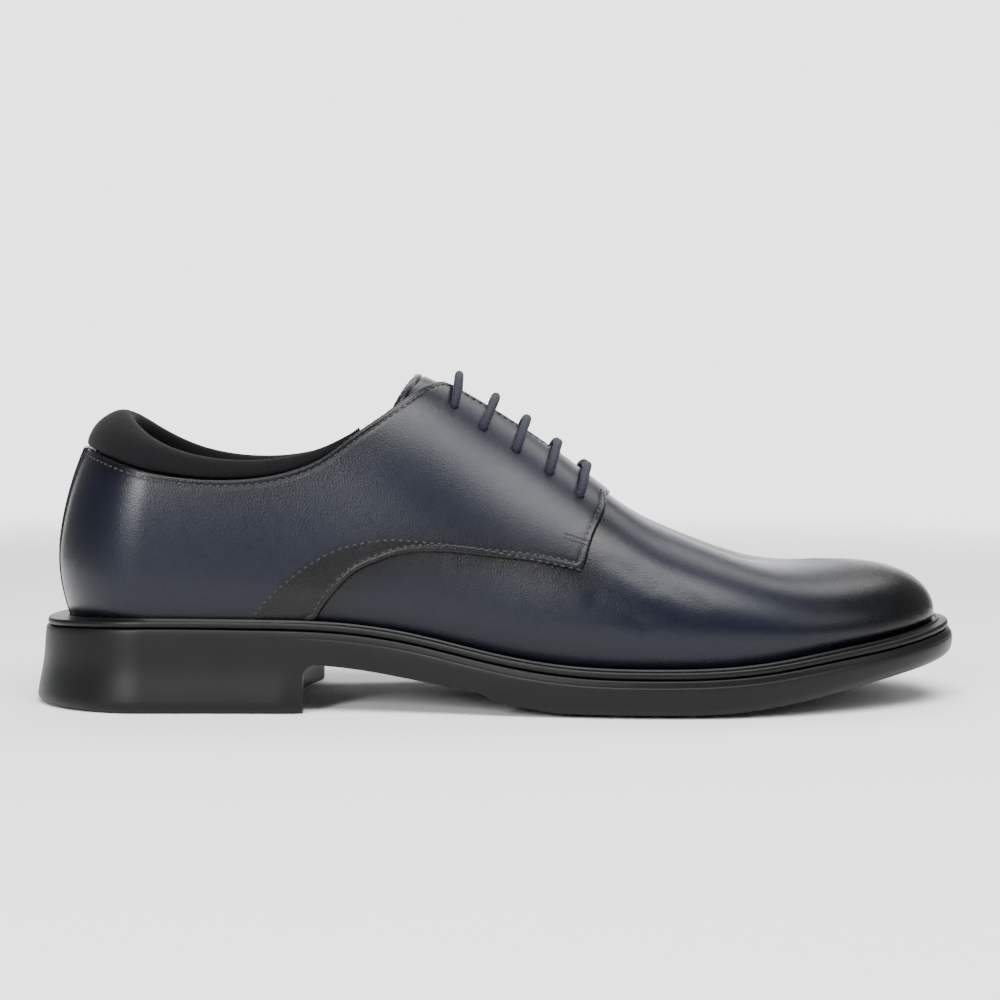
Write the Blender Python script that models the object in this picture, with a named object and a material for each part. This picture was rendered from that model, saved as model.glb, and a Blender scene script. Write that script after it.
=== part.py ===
"""A lace-up derby shoe for the right foot, modelled at its real size in metres.

+X runs to the toe, +Z up, and -Y is the outer (lateral) side of the foot. The origin is the middle of the
heel's flat bottom, on the floor. One function, last_form, gives the skin of the last at any distance from
it. The upper, its quarters, the collar, the tongue, the insole and the sole are all worked out from it.
"""

import math
from collections import namedtuple

import bmesh
import bpy
import numpy as np
from mathutils import Vector
from mathutils.bvhtree import BVHTree

# The driving sizes
LENGTH = 0.302  # the sole, from the back of the heel to the toe
BALL_WIDTH = 0.098  # the upper across the ball of the foot
INSTEP_HEIGHT = 0.114  # the top of the last above the floor
SEAT_HEIGHT = 0.029  # the upper's lower edge above the floor, at the heel
HEEL_LENGTH = 0.091  # the heel's flat bottom, from its back to its breast
BREAST_DEPTH = 0.0065  # how far the heel's breast is hollowed, seen from below
BREAST_WIDTH = 0.070
TREAD_STEP = 0.0030  # how far the forefoot's tread stands below the waist

# The thickness of each material
UPPER_WALL = 0.0018
QUARTER_STEP = 0.0012  # how far the quarters stand above the vamp
BACKSTAY_STEP = 0.0009  # how far the backstay stands above the quarters
WELT_THICKNESS = 0.0022
TONGUE_THICKNESS = 0.0032
INSOLE_THICKNESS = 0.0060
LACE_DIAMETER = 0.0028
EYELET_DIAMETER = 0.0034
THROAT_WIDTH = 0.019  # the gap between the two facings
COLLAR_PAD = 0.0062  # how far the padded collar reaches in from the upper's inside
COLLAR_TUCK = 0.011  # how far the padded collar reaches down inside the upper
COLLAR_END = (0.40, 0.72, 0.92)  # how thick the collar is at its very end and just behind it, as shares
INSOLE_PLAY = 0.0021  # from the inside of the upper to the insole
INSOLE_ROUND = 0.0010  # the round at the insole's edges
WELT_INSET = 0.0012  # from the sole's rim in to the welt's edge
WELT_BEAD = 0.0005  # how far the welt's edge bulges
SEAT_INSET = 0.0040  # from the upper's lower edge in to the edge of the sole's flat top
GAP = 0.0003  # between pieces that touch
PAST = 0.030  # how far a cutter is carried on past what it cuts

# How finely the forms are divided
RIBS = 30  # from the heel to the toe, on each side
RIB_STEPS = 9  # up each rib, above its widest place
SKIRT = 0.012  # how far a form is carried on below the upper's lower edge
BAR_POINTS = 13  # along each lace bar
ROOF_STEPS = 11  # along the underside of the waist
CORNER_STEPS = 3  # round the corner between the waist and the heel's breast

# Each row is one station of the last. Along is a share of LENGTH, feather of SEAT_HEIGHT, and the half widths
# on the lateral and medial sides, swing and rim are shares of BALL_WIDTH. Swing is how far the middle line
# bends to the inner side, feather is the height of the upper's lower edge, and rim is how far the sole reaches
# out past the upper. Widest is the share of a rib's height where it is widest, tuck is how far it draws in
# below that, as a share of its half width, and side and roof are the powers of the curve that closes above.
Station = namedtuple("Station", "along lateral medial swing feather rim widest tuck side roof")
STATIONS = (
    Station(0.0315, 0.345, 0.345, 0.000, 0.945, 0.062, 0.22, 0.090, 1.80, 1.55),
    Station(0.0650, 0.345, 0.345, 0.000, 0.980, 0.040, 0.20, 0.085, 1.95, 1.75),
    Station(0.1150, 0.344, 0.343, 0.000, 1.000, 0.027, 0.18, 0.070, 2.15, 1.95),
    Station(0.1700, 0.342, 0.337, 0.000, 1.000, 0.026, 0.17, 0.060, 2.25, 2.00),
    Station(0.2500, 0.342, 0.322, 0.000, 0.990, 0.028, 0.15, 0.055, 2.30, 2.00),
    Station(0.3300, 0.350, 0.318, 0.000, 0.965, 0.032, 0.14, 0.050, 2.35, 2.00),
    Station(0.4100, 0.370, 0.332, 0.000, 0.860, 0.035, 0.17, 0.050, 2.35, 1.90),
    Station(0.5000, 0.412, 0.378, 0.002, 0.655, 0.037, 0.18, 0.050, 2.00, 1.72),
    Station(0.5800, 0.455, 0.435, 0.004, 0.535, 0.037, 0.20, 0.050, 2.05, 1.75),
    Station(0.6600, 0.484, 0.488, 0.008, 0.510, 0.036, 0.23, 0.045, 2.15, 1.80),
    Station(0.7200, 0.490, 0.508, 0.014, 0.520, 0.036, 0.25, 0.040, 2.25, 1.85),
    Station(0.7800, 0.486, 0.510, 0.022, 0.570, 0.038, 0.25, 0.035, 2.40, 1.90),
    Station(0.8500, 0.474, 0.500, 0.036, 0.680, 0.044, 0.21, 0.030, 2.60, 2.00),
    Station(0.9200, 0.460, 0.485, 0.050, 0.785, 0.050, 0.15, 0.025, 2.85, 2.08),
    Station(0.9815, 0.450, 0.470, 0.060, 0.905, 0.052, 0.09, 0.020, 3.00, 2.12),
)
HEEL_ROUND = 0.135  # the outline is rounded behind this share of the length
TOE_ROUND = 0.700  # and ahead of this one
TOE_ROUND_POWER = 2.2
SPINE_BACK = 0.160  # every rib ends above on the middle line, between these shares of the length
SPINE_FRONT = 0.850

# The top line of the last: along is a share of LENGTH, height of INSTEP_HEIGHT, lean of BALL_WIDTH.
Ridge = namedtuple("Ridge", "along height lean")
RIDGE = (
    Ridge(0.160, 1.000, 0.000),
    Ridge(0.250, 1.000, 0.000),
    Ridge(0.340, 1.000, 0.005),
    Ridge(0.380, 0.988, 0.010),
    Ridge(0.417, 0.956, 0.016),
    Ridge(0.464, 0.893, 0.025),
    Ridge(0.500, 0.834, 0.030),
    Ridge(0.546, 0.744, 0.036),
    Ridge(0.589, 0.650, 0.040),
    Ridge(0.611, 0.601, 0.042),
    Ridge(0.636, 0.547, 0.044),
    Ridge(0.6685, 0.4955, 0.046),
    Ridge(0.7010, 0.4525, 0.048),
    Ridge(0.7450, 0.4050, 0.050),
    Ridge(0.7880, 0.3900, 0.050),
    Ridge(0.8500, 0.3960, 0.048),
)

# Lines seen from the side. Along is a share of LENGTH and up of INSTEP_HEIGHT.
SidePoint = namedtuple("SidePoint", "along up")
TOPLINE = (
    SidePoint(0.0000, 0.7330),
    SidePoint(0.0600, 0.7240),
    SidePoint(0.1040, 0.6880),
    SidePoint(0.1490, 0.6560),
    SidePoint(0.1910, 0.6420),
    SidePoint(0.2240, 0.6400),
    SidePoint(0.2670, 0.6510),
    SidePoint(0.3170, 0.6970),
    SidePoint(0.3490, 0.7570),
    SidePoint(0.3860, 0.8260),
    SidePoint(0.4140, 0.8820),
    SidePoint(0.4410, 0.9130),
    SidePoint(0.4560, 0.9080),
)
QUARTER_FRONT = (
    SidePoint(0.6170, 0.6400),
    SidePoint(0.6170, 0.5720),
    SidePoint(0.6145, 0.5520),
    SidePoint(0.6080, 0.5230),
    SidePoint(0.5990, 0.4740),
    SidePoint(0.5905, 0.4000),
)
QUARTER_LOWER = (
    SidePoint(0.5890, 0.3956),
    SidePoint(0.5470, 0.4190),
    SidePoint(0.4960, 0.4320),
    SidePoint(0.4570, 0.4420),
    SidePoint(0.4320, 0.4440),
    SidePoint(0.4060, 0.4390),
    SidePoint(0.3800, 0.4170),
    SidePoint(0.3540, 0.3830),
    SidePoint(0.3365, 0.3370),
    SidePoint(0.3235, 0.2930),
    SidePoint(0.3130, 0.2400),
    SidePoint(0.3060, 0.1400),
)
BACKSTAY_FRONT = (
    SidePoint(0.0620, 0.8600),
    SidePoint(0.0580, 0.7050),
    SidePoint(0.0470, 0.6320),
    SidePoint(0.0380, 0.5600),
    SidePoint(0.0310, 0.4700),
    SidePoint(0.0290, 0.4000),
    SidePoint(0.0300, 0.3300),
    SidePoint(0.0350, 0.2500),
    SidePoint(0.0380, 0.1000),
)
# The throat is cut through the vamp too, and the gap between the facings goes on ahead of it.
THROAT_BACK = 0.400
THROAT_FRONT = 0.597
FACINGS_BACK = 0.420
FACINGS_FRONT = 0.645
THROAT_FLOOR = 0.370  # below the vamp there, as a share of INSTEP_HEIGHT
Eyelet = namedtuple("Eyelet", "along up lean")  # lean is how far ahead of it the middle of its lace bar lies
EYELETS = (
    Eyelet(0.4560, 0.8430, 0.0004),
    Eyelet(0.4870, 0.7800, 0.0030),
    Eyelet(0.5220, 0.7190, 0.0026),
    Eyelet(0.5570, 0.6570, 0.0022),
    Eyelet(0.5880, 0.5950, 0.0024),
)

# The tongue. Down is the share of the way from its top to its front, and half is a share of BALL_WIDTH.
TongueRow = namedtuple("TongueRow", "down half")
TONGUE_SHAPE = (
    TongueRow(0.00, 0.231),
    TongueRow(0.10, 0.275),
    TongueRow(0.40, 0.270),
    TongueRow(0.80, 0.231),
    TongueRow(1.00, 0.198),
)
TONGUE_BACK = 0.4140
TONGUE_FRONT = 0.6060
TONGUE_TOP_SWEEP = 0.0080  # how far its top corners lie behind its middle
TONGUE_FRONT_SWEEP = 0.0030
TONGUE_ROWS = 17
TONGUE_COLUMNS = 13

# The collar's padding above the topline. Rise is in shares of COLLAR_RISE.
COLLAR_RISE = 0.0120
Rise = namedtuple("Rise", "along rise")
COLLAR_RISES = (
    Rise(0.030, 1.00),
    Rise(0.060, 0.97),
    Rise(0.090, 0.84),
    Rise(0.130, 0.66),
    Rise(0.190, 0.50),
    Rise(0.260, 0.42),
    Rise(0.310, 0.32),
    Rise(0.345, 0.14),
)
COLLAR_FRONT = 0.352

# The collar's section, from its lower outer corner round. Out is in shares of COLLAR_PAD from the inside of
# the upper, up in shares of the collar's rise, and down in shares of COLLAR_TUCK.
PadPoint = namedtuple("PadPoint", "out up down")
COLLAR_SECTION = (
    PadPoint(-0.22, 0.00, 1.00),
    PadPoint(0.00, 0.00, 0.80),
    PadPoint(0.00, 0.00, 0.00),
    PadPoint(0.42, 0.06, 0.00),
    PadPoint(0.60, 0.32, 0.00),
    PadPoint(0.50, 0.66, 0.00),
    PadPoint(0.15, 0.93, 0.00),
    PadPoint(-0.30, 1.00, 0.00),
    PadPoint(-0.72, 0.84, 0.00),
    PadPoint(-1.00, 0.45, 0.00),
    PadPoint(-1.00, 0.00, 0.10),
    PadPoint(-0.80, 0.00, 0.55),
    PadPoint(-0.50, 0.00, 0.95),
)

# The sole's underside along its middle, with up as a share of SEAT_HEIGHT.
WAIST_LINE = (
    SidePoint(0.290, 0.545),
    SidePoint(0.330, 0.515),
    SidePoint(0.372, 0.462),
    SidePoint(0.402, 0.408),
    SidePoint(0.445, 0.325),
    SidePoint(0.484, 0.255),
)
TREAD_BACK = 0.500
TREAD_RUN = 0.028  # from there on to where the tread has come down to the floor
BREAST_ROUND = 0.004  # the corner between the breast and the waist
BREAST_PLACES = (-1, -0.7, -0.35, 0, 0.35, 0.7, 1)  # across the breast, as shares of half its width
TREAD_LINE = (
    SidePoint(0.0000, 0.000),
    SidePoint(0.5000, 0.000),
    SidePoint(0.5800, 0.000),
    SidePoint(0.7000, 0.000),
    SidePoint(0.7500, 0.028),
    SidePoint(0.8000, 0.105),
    SidePoint(0.8500, 0.205),
    SidePoint(0.9200, 0.345),
    SidePoint(0.9815, 0.430),
)

# How far the sole's side wall stands out or in, in metres, at places given as shares of its height from the
# top. The heel's wall flares out towards the floor, and the toe's is rounded in under the foot.
WallStep = namedtuple("WallStep", "down heel fore toe")
SOLE_WALL = (
    WallStep(0.00, 0.0000, 0.0000, 0.0000),
    WallStep(0.12, 0.0003, 0.0004, 0.0006),
    WallStep(0.50, 0.0012, 0.0003, 0.0008),
    WallStep(0.80, 0.0026, -0.0008, -0.0012),
    WallStep(0.90, 0.0030, -0.0016, -0.0030),
)
HEEL_WALL = (0.28, 0.42)  # the heel's wall turns into the forefoot's between these shares of the length
TOE_WALL = (0.80, 0.96)  # and the forefoot's into the toe's between these
TOE_WALL_POWER = 1.5
EDGE_ROUND = 0.0022  # the small round at the sole's lower edge
TREAD_CROWN = ((0.008, 0.45), (0.016, 0.0))  # how the forefoot's tread rises to its edge: inset and share


def along(share):
    """The X of a place given as a share of the length from the back of the heel."""
    return share * LENGTH - HEEL_LENGTH / 2


def share_of(x):
    return (x + HEEL_LENGTH / 2) / LENGTH


def smooth_curve(xs, ys):
    """The natural cubic curve through some points, as a function of x."""
    xs, ys = np.array(xs, float), np.array(ys, float)
    steps = np.diff(xs)
    slopes = np.diff(ys) / steps
    system, target = np.eye(len(xs)), np.zeros(len(xs))
    for i in range(1, len(xs) - 1):
        system[i, i - 1 : i + 2] = steps[i - 1], 2 * (steps[i - 1] + steps[i]), steps[i]
        target[i] = 3 * (slopes[i] - slopes[i - 1])
    bend = np.linalg.solve(system, target)

    def value(x):
        x = np.clip(x, xs[0], xs[-1])
        i = np.clip(np.searchsorted(xs, x) - 1, 0, len(xs) - 2)
        d = x - xs[i]
        first = slopes[i] - steps[i] * (2 * bend[i] + bend[i + 1]) / 3
        return ys[i] + d * (first + d * (bend[i] + d * (bend[i + 1] - bend[i]) / (3 * steps[i])))

    return value


def column(rows, name):
    return smooth_curve([row.along for row in rows], [getattr(row, name) for row in rows])


STATION_OF = {name: column(STATIONS, name) for name in Station._fields[1:]}
RIDGE_HEIGHT = column(RIDGE, "height")
RIDGE_LEAN = column(RIDGE, "lean")
TREAD_HEIGHT = column(TREAD_LINE, "up")
BACK, TIP = STATIONS[0].along, STATIONS[-1].along


def rounding(share):
    """How much of its half width the outline keeps, towards the heel and the toe."""
    heel = np.clip((HEEL_ROUND - share) / (HEEL_ROUND - BACK), 0, 1)
    toe = np.clip((share - TOE_ROUND) / (TIP - TOE_ROUND), 0, 1)
    return np.sqrt(1 - heel**2) * (1 - toe**TOE_ROUND_POWER) ** (1 / TOE_ROUND_POWER)


def rib_shares(count=RIBS):
    """Where each rib's foot lies and where it ends on the middle line, as shares of the length."""
    turn = (1 - np.cos(np.linspace(0, math.pi, count + 1))) / 2
    return BACK + (TIP - BACK) * turn, SPINE_BACK + (SPINE_FRONT - SPINE_BACK) * turn


def feather_height(share):
    return STATION_OF["feather"](share) * SEAT_HEIGHT


def outline(side, count=RIBS):
    """The widest places of the ribs of one side, seen from above. Side is -1 for lateral, 1 for medial."""
    share, _ = rib_shares(count)
    half = STATION_OF["lateral" if side < 0 else "medial"](share) * rounding(share)
    middle = STATION_OF["swing"](share)
    return np.stack([along(share), (middle + side * half) * BALL_WIDTH], axis=1)


def spine_y(x):
    """The Y of the last's middle line at X."""
    return RIDGE_LEAN(share_of(x)) * BALL_WIDTH


def rib_tops(count=RIBS):
    _, spine = rib_shares(count)
    return np.stack(
        [along(spine), RIDGE_LEAN(spine) * BALL_WIDTH, RIDGE_HEIGHT(spine) * INSTEP_HEIGHT], axis=1
    )


def last_ribs(side):
    """The skin of the last on one side, as an array of ribs by levels by three coordinates."""
    share, _ = rib_shares()
    wide, top, foot = outline(side), rib_tops(), feather_height(share)
    widest, tuck = STATION_OF["widest"](share), STATION_OF["tuck"](share)
    levels = []
    for below in (1.0, 0.5):
        levels.append((widest * (1 - below), 1 - tuck * below**2))
    for turn in np.linspace(0, math.pi / 2, RIB_STEPS + 1):
        rise = math.sin(turn) ** (2 / STATION_OF["roof"](share))
        reach = max(math.cos(turn), 0) ** (2 / STATION_OF["side"](share))
        levels.append((widest + (1 - widest) * rise, reach))
    skin = np.empty((len(share), len(levels), 3))
    for k, (rise, reach) in enumerate(levels):
        skin[:, k, :2] = top[:, :2] + (wide - top[:, :2]) * reach[:, None]
        skin[:, k, 2] = foot + (top[:, 2] - foot) * rise
    return skin


def ring_of(lateral, medial):
    """One closed ring: along the lateral side to the toe, and back along the medial side."""
    return [*lateral, *medial[-2:0:-1]]


def level_rings():
    lateral, medial = last_ribs(-1), last_ribs(1)
    return [ring_of(lateral[:, k], medial[:, k]) for k in range(lateral.shape[1])]


def ladder(bm, ring):
    """Closes a ring with a ladder of faces from its lateral side to its medial side."""
    count = len(ring)
    for i in range(count // 2):
        corners = [ring[i], ring[i + 1], ring[(count - i - 1) % count], ring[(count - i) % count]]
        bm.faces.new(list(dict.fromkeys(corners)))


def loft(bm, rings, closed=True):
    """Adds the faces between rings of points and gives the rings' vertices."""
    made = [[bm.verts.new(tuple(point)) for point in ring] for ring in rings]
    for low, high in zip(made, made[1:]):
        for i in range(len(low) if closed else len(low) - 1):
            j = (i + 1) % len(low)
            bm.faces.new((low[i], low[j], high[j], high[i]))
    return made


def collection(name):
    made = bpy.data.collections.new(name)
    bpy.context.scene.collection.children.link(made)
    return made


def new_object(name, bm, where):
    """Makes an object of a bmesh, with its faces turned outwards."""
    bmesh.ops.triangulate(bm, faces=bm.faces)
    bmesh.ops.recalc_face_normals(bm, faces=bm.faces)
    if bm.calc_volume(signed=True) < 0:
        bmesh.ops.reverse_faces(bm, faces=bm.faces)
    mesh = bpy.data.meshes.new(name)
    bm.to_mesh(mesh)
    bm.free()
    made = bpy.data.objects.new(name, mesh)
    where.objects.link(made)
    if where.name == "cutters":
        made.hide_render = True
        made.display_type = "WIRE"
    return made


def last_form(name, grow, where):
    """A solid of the last, with its skin moved out by grow, and a skirt below the upper's lower edge."""
    bm = bmesh.new()
    made = loft(bm, level_rings())
    bmesh.ops.remove_doubles(bm, verts=bm.verts, dist=1e-6)
    foot = [vert for vert in made[0] if vert.is_valid]
    bm.normal_update()
    moves = {vert: vert.normal.copy() for vert in bm.verts}
    middle = sum((vert.co for vert in bm.verts), Vector()) / len(bm.verts)
    inwards = sum(vert.normal.dot(vert.co - middle) for vert in bm.verts) < 0
    for vert in foot:
        moves[vert].z = 0
        moves[vert].normalize()
    for vert, way in moves.items():
        vert.co += way * (-grow if inwards else grow)
    drop = Vector((0, 0, SKIRT + 2 * max(-grow, 0)))  # an inner form ends lower than an outer one
    skirt = [bm.verts.new(vert.co - drop) for vert in foot]
    for i, vert in enumerate(foot):
        j = (i + 1) % len(foot)
        bm.faces.new((skirt[i], skirt[j], foot[j], vert))
    ladder(bm, skirt)
    return new_object(name, bm, where)


def side_line(points, steps=4):
    """A smooth line through points given from the side, as X and Z in metres."""
    spots = np.array([(along(point.along), point.up * INSTEP_HEIGHT) for point in points])
    walked = np.concatenate([[0], np.cumsum(np.hypot(*np.diff(spots, axis=0).T))])
    places = np.concatenate(
        [np.linspace(a, b, steps, endpoint=False) for a, b in zip(walked, walked[1:])] + [walked[-1:]]
    )
    return np.stack([smooth_curve(walked, spots[:, k])(places) for k in (0, 1)], axis=1)


def side_prism(name, corners, where, reach=BALL_WIDTH):
    """A prism along Y with the given corners in X and Z."""
    bm = bmesh.new()
    rings = loft(bm, [[(x, y, z) for x, z in corners] for y in (-reach, reach)])
    bm.faces.new(rings[0])
    bm.faces.new(rings[1])
    return new_object(name, bm, where)


def upright_prism(name, corners, low, high, where):
    """A prism along Z with the given corners in X and Y."""
    bm = bmesh.new()
    rings = loft(bm, [[(x, y, z) for x, y in corners] for z in (low, high)])
    bm.faces.new(rings[0])
    bm.faces.new(rings[1])
    return new_object(name, bm, where)


def boolean(target, operation, other):
    cut = target.modifiers.new(f"{operation.lower()} {other.name}", "BOOLEAN")
    cut.operation = operation
    cut.object = other
    cut.solver = "EXACT"


def applied(target):
    """Turns an object's modifiers into its mesh."""
    bpy.context.view_layer.update()
    graph = bpy.context.evaluated_depsgraph_get()
    mesh = bpy.data.meshes.new_from_object(target.evaluated_get(graph))
    target.modifiers.clear()
    target.data = mesh
    return target


def surface_tree(target):
    bm = bmesh.new()
    bm.from_mesh(target.data)
    tree = BVHTree.FromBMesh(bm)
    bm.free()
    return tree


def side_spot(tree, x, z, side):
    """The point and the outward direction of a form where a line along Y meets its side."""
    spot, way, _, _ = tree.ray_cast(Vector((x, side * BALL_WIDTH, z)), Vector((0, -side, 0)))
    return spot, way if way.y * side > 0 else -way


def top_spot(tree, x, y):
    spot, way, _, _ = tree.ray_cast(Vector((x, y, 2 * INSTEP_HEIGHT)), Vector((0, 0, -1)))
    return spot, way if way.z > 0 else -way


def paint(target, colour, roughness):
    material = bpy.data.materials.new(f"{target.name} finish")
    material.use_nodes = True
    shader = material.node_tree.nodes["Principled BSDF"]
    shader.inputs["Base Color"].default_value = (*colour, 1)
    shader.inputs["Roughness"].default_value = roughness
    target.data.materials.clear()
    target.data.materials.append(material)
    if target.type == "MESH":
        target.data.shade_smooth()
        target.data.set_sharp_from_angle(angle=math.radians(35))


def foot_points(offset, drop):
    """The ring of the upper's lower edge, moved out by offset and down by drop."""
    share, _ = rib_shares()
    sides = []
    for side in (-1, 1):
        wide, top = outline(side), rib_tops()[:, :2]
        flat = top + (wide - top) * (1 - STATION_OF["tuck"](share))[:, None]
        sides.append(np.column_stack([flat, feather_height(share) - drop]))
    return moved_out(ring_of(*sides), [offset] * (2 * RIBS))


def moved_out(ring, offsets):
    """Moves each point of a flat ring out along its normal seen from above."""
    ring = np.array(ring)
    way = np.roll(ring, -1, axis=0) - np.roll(ring, 1, axis=0)
    normal = np.stack([way[:, 1], -way[:, 0]], axis=1)
    normal /= np.linalg.norm(normal, axis=1)[:, None]
    ring[:, :2] += normal * np.array(offsets)[:, None]
    return ring


def ring_column(name):
    """A column of the stations around the whole ring."""
    values = STATION_OF[name](rib_shares()[0])
    return np.array(ring_of(list(values), list(values)))


def rim_ring(inset=0.0):
    """The sole's upper edge, seen from above, moved in by inset."""
    wide = ring_of(*[np.column_stack([outline(side), np.zeros(RIBS + 1)]) for side in (-1, 1)])
    return moved_out(wide, ring_column("rim") * BALL_WIDTH - inset)


def with_heights(ring, heights):
    ring = np.array(ring)
    ring[:, 2] = heights
    return ring


def welt_levels():
    """The drops from the feather line of the welt's top and bottom and of the sole's top."""
    top = GAP
    bottom = top + WELT_THICKNESS
    return top, bottom, bottom + GAP


def make_upper(shoe, cutters):
    """The hollow upper: vamp, quarters and backstay in one wall, open above and underneath.

    It gives the skin that the quarters' outside follows, for finding places on it.
    """
    front, lower = side_line(QUARTER_FRONT), side_line(QUARTER_LOWER)
    behind, above = along(0) - PAST, INSTEP_HEIGHT + PAST
    quarter_edge = [*front, *lower, (behind, lower[-1][1]), (behind, above), (front[0][0], above)]
    quarter_area = side_prism("quarter outline", quarter_edge, cutters)
    strip = side_line(BACKSTAY_FRONT)
    strip_edge = [*strip, (behind - PAST, strip[-1][1]), (behind - PAST, strip[0][1])]
    backstay_area = side_prism("backstay outline", strip_edge, cutters)

    quarters = last_form("quarter skin", QUARTER_STEP, cutters)
    boolean(quarters, "INTERSECT", quarter_area)
    backstay = last_form("backstay skin", QUARTER_STEP + BACKSTAY_STEP, cutters)
    boolean(backstay, "INTERSECT", backstay_area)
    cavity = last_form("inside of the upper", -UPPER_WALL, cutters)
    quarter_full = last_form("whole quarter skin", QUARTER_STEP, cutters)

    topline = side_line(TOPLINE)
    mouth_edge = [(behind, topline[0][1]), *topline, (topline[-1][0], above), (behind, above)]
    mouth = side_prism("mouth", mouth_edge, cutters)
    throat = throat_cutter("throat", THROAT_BACK, THROAT_FRONT, THROAT_WIDTH, cutters)
    facing_gap = throat_cutter(
        "gap between the facings", FACINGS_BACK, FACINGS_FRONT, THROAT_WIDTH + 2 * GAP, cutters
    )
    boolean(quarters, "DIFFERENCE", facing_gap)

    upper = last_form("upper", 0, shoe)
    boolean(upper, "UNION", quarters)
    boolean(upper, "UNION", backstay)
    boolean(upper, "DIFFERENCE", cavity)
    boolean(upper, "DIFFERENCE", mouth)
    boolean(upper, "DIFFERENCE", throat)
    boolean(upper, "DIFFERENCE", under_cutter(cutters))
    tree = surface_tree(quarter_full)
    for side in (-1, 1):
        for i, eyelet in enumerate(EYELETS):
            spot, way = side_spot(tree, along(eyelet.along), eyelet.up * INSTEP_HEIGHT, side)
            boolean(upper, "DIFFERENCE", eyelet_cutter(f"eyelet {side} {i}", spot, way, cutters))
    applied(upper)
    paint(upper, (0.020, 0.030, 0.062), 0.38)
    return tree


def throat_cutter(name, back, front, width, cutters):
    """An upright prism along the ridge with a round front end."""
    half, middle = width / 2, along(front) - width / 2
    sides = np.linspace(along(back), middle, 7)
    lateral = [(x, spine_y(x) - half) for x in sides]
    medial = [(x, spine_y(x) + half) for x in sides[::-1]]
    nose = [
        (middle + half * math.cos(turn), spine_y(middle) + half * math.sin(turn))
        for turn in np.linspace(-math.pi / 2, math.pi / 2, 9)[1:-1]
    ]
    corners = [*lateral, *nose, *medial]
    return upright_prism(name, corners, THROAT_FLOOR * INSTEP_HEIGHT, INSTEP_HEIGHT + PAST, cutters)


def under_cutter(cutters):
    """What lies below the upper's lower edge."""
    outer = foot_points(SKIRT, 0)
    bm = bmesh.new()
    low = with_heights(outer, outer[:, 2] - 3 * SKIRT)
    rings = loft(bm, [low, outer, foot_points(2 * GAP, 0), foot_points(-SKIRT / 4, 0)])
    ladder(bm, rings[0])
    ladder(bm, rings[-1])
    return new_object("space under the upper", bm, cutters)


def eyelet_cutter(name, spot, way, cutters):
    bm = bmesh.new()
    reach = 2 * (UPPER_WALL + QUARTER_STEP)  # well past both faces of the wall
    turned = way.to_track_quat("Z", "Y").to_matrix().to_4x4()
    turned.translation = spot
    bmesh.ops.create_cone(
        bm,
        cap_ends=True,
        segments=12,
        radius1=EYELET_DIAMETER / 2,
        radius2=EYELET_DIAMETER / 2,
        depth=2 * reach,
        matrix=turned,
    )
    return new_object(name, bm, cutters)


def wall_spot(rib, side, up, offset):
    """The place on one rib of the last at a height, moved level outwards by offset. Rib counts from the heel."""
    share, _ = rib_shares()
    wide, top = outline(side)[rib], rib_tops()[rib]
    foot = feather_height(share[rib])
    station = {name: STATION_OF[name](share[rib]) for name in ("widest", "side", "roof")}
    rise = (up - foot) / (top[2] - foot)
    above = np.clip((rise - station["widest"]) / (1 - station["widest"]), 0, 1)
    reach = (1 - above ** station["roof"]) ** (1 / station["side"])
    ray = wide - top[:2]
    length = np.linalg.norm(ray)
    slope = 0.0
    if 0 < above < 0.98:
        fall = above ** (station["roof"] - 1) * station["roof"] / station["side"]
        slope = length * fall * reach ** (1 - station["side"]) / ((1 - station["widest"]) * (top[2] - foot))
    x, y = top[:2] + ray / length * (length * reach + offset * math.hypot(1, slope))
    return Vector((x, y, up))


def topline_spot(rib, side, height_at, offset=0.0, rise=0.0):
    """Where the topline crosses a rib, moved outwards by offset and up by rise."""
    up = height_at(along(BACK))
    for _ in range(12):
        up = height_at(wall_spot(rib, side, up, 0).x)
    return wall_spot(rib, side, up + rise, offset)


def make_collar(shoe):
    """The padded roll round the ankle, tucked inside the upper and standing above its topline."""
    line = side_line(TOPLINE)
    height_at = smooth_curve(line[:, 0], line[:, 1])
    rise_at = smooth_curve([row.along for row in COLLAR_RISES], [row.rise for row in COLLAR_RISES])
    walk = []
    for side in (-1, 1):
        ribs = [
            rib for rib in range(1, RIBS)
            if topline_spot(rib, side, height_at).x < along(COLLAR_FRONT)
        ]
        walk.append([(rib, side) for rib in ribs])
    path = [*reversed(walk[0]), (0, 1), *walk[1]]
    clear = UPPER_WALL + 4 * GAP
    widest = max(point.out for point in COLLAR_SECTION)
    bm = bmesh.new()
    rings = []
    for place, (rib, side) in enumerate(path):
        lift = rise_at(share_of(topline_spot(rib, side, height_at).x))
        near_end = min(place, len(path) - 1 - place)
        thick = COLLAR_PAD * (*COLLAR_END, 1)[min(near_end, len(COLLAR_END))]
        ring = []
        for point in COLLAR_SECTION:
            if point.out > 0:  # over the leather's edge, and level with the quarter's outside at the widest
                out = -clear + point.out / widest * (clear + QUARTER_STEP) * lift
            else:
                out = -clear + point.out * thick
            up = 3 * GAP + point.up * lift * COLLAR_RISE if point.up else -point.down * COLLAR_TUCK
            ring.append(topline_spot(rib, side, height_at, out, up))
        rings.append(ring)
    made = loft(bm, rings)
    bm.faces.new(made[0])
    bm.faces.new(made[-1])
    collar = new_object("collar", bm, shoe)
    paint(collar, (0.012, 0.013, 0.016), 0.75)
    return collar


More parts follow.
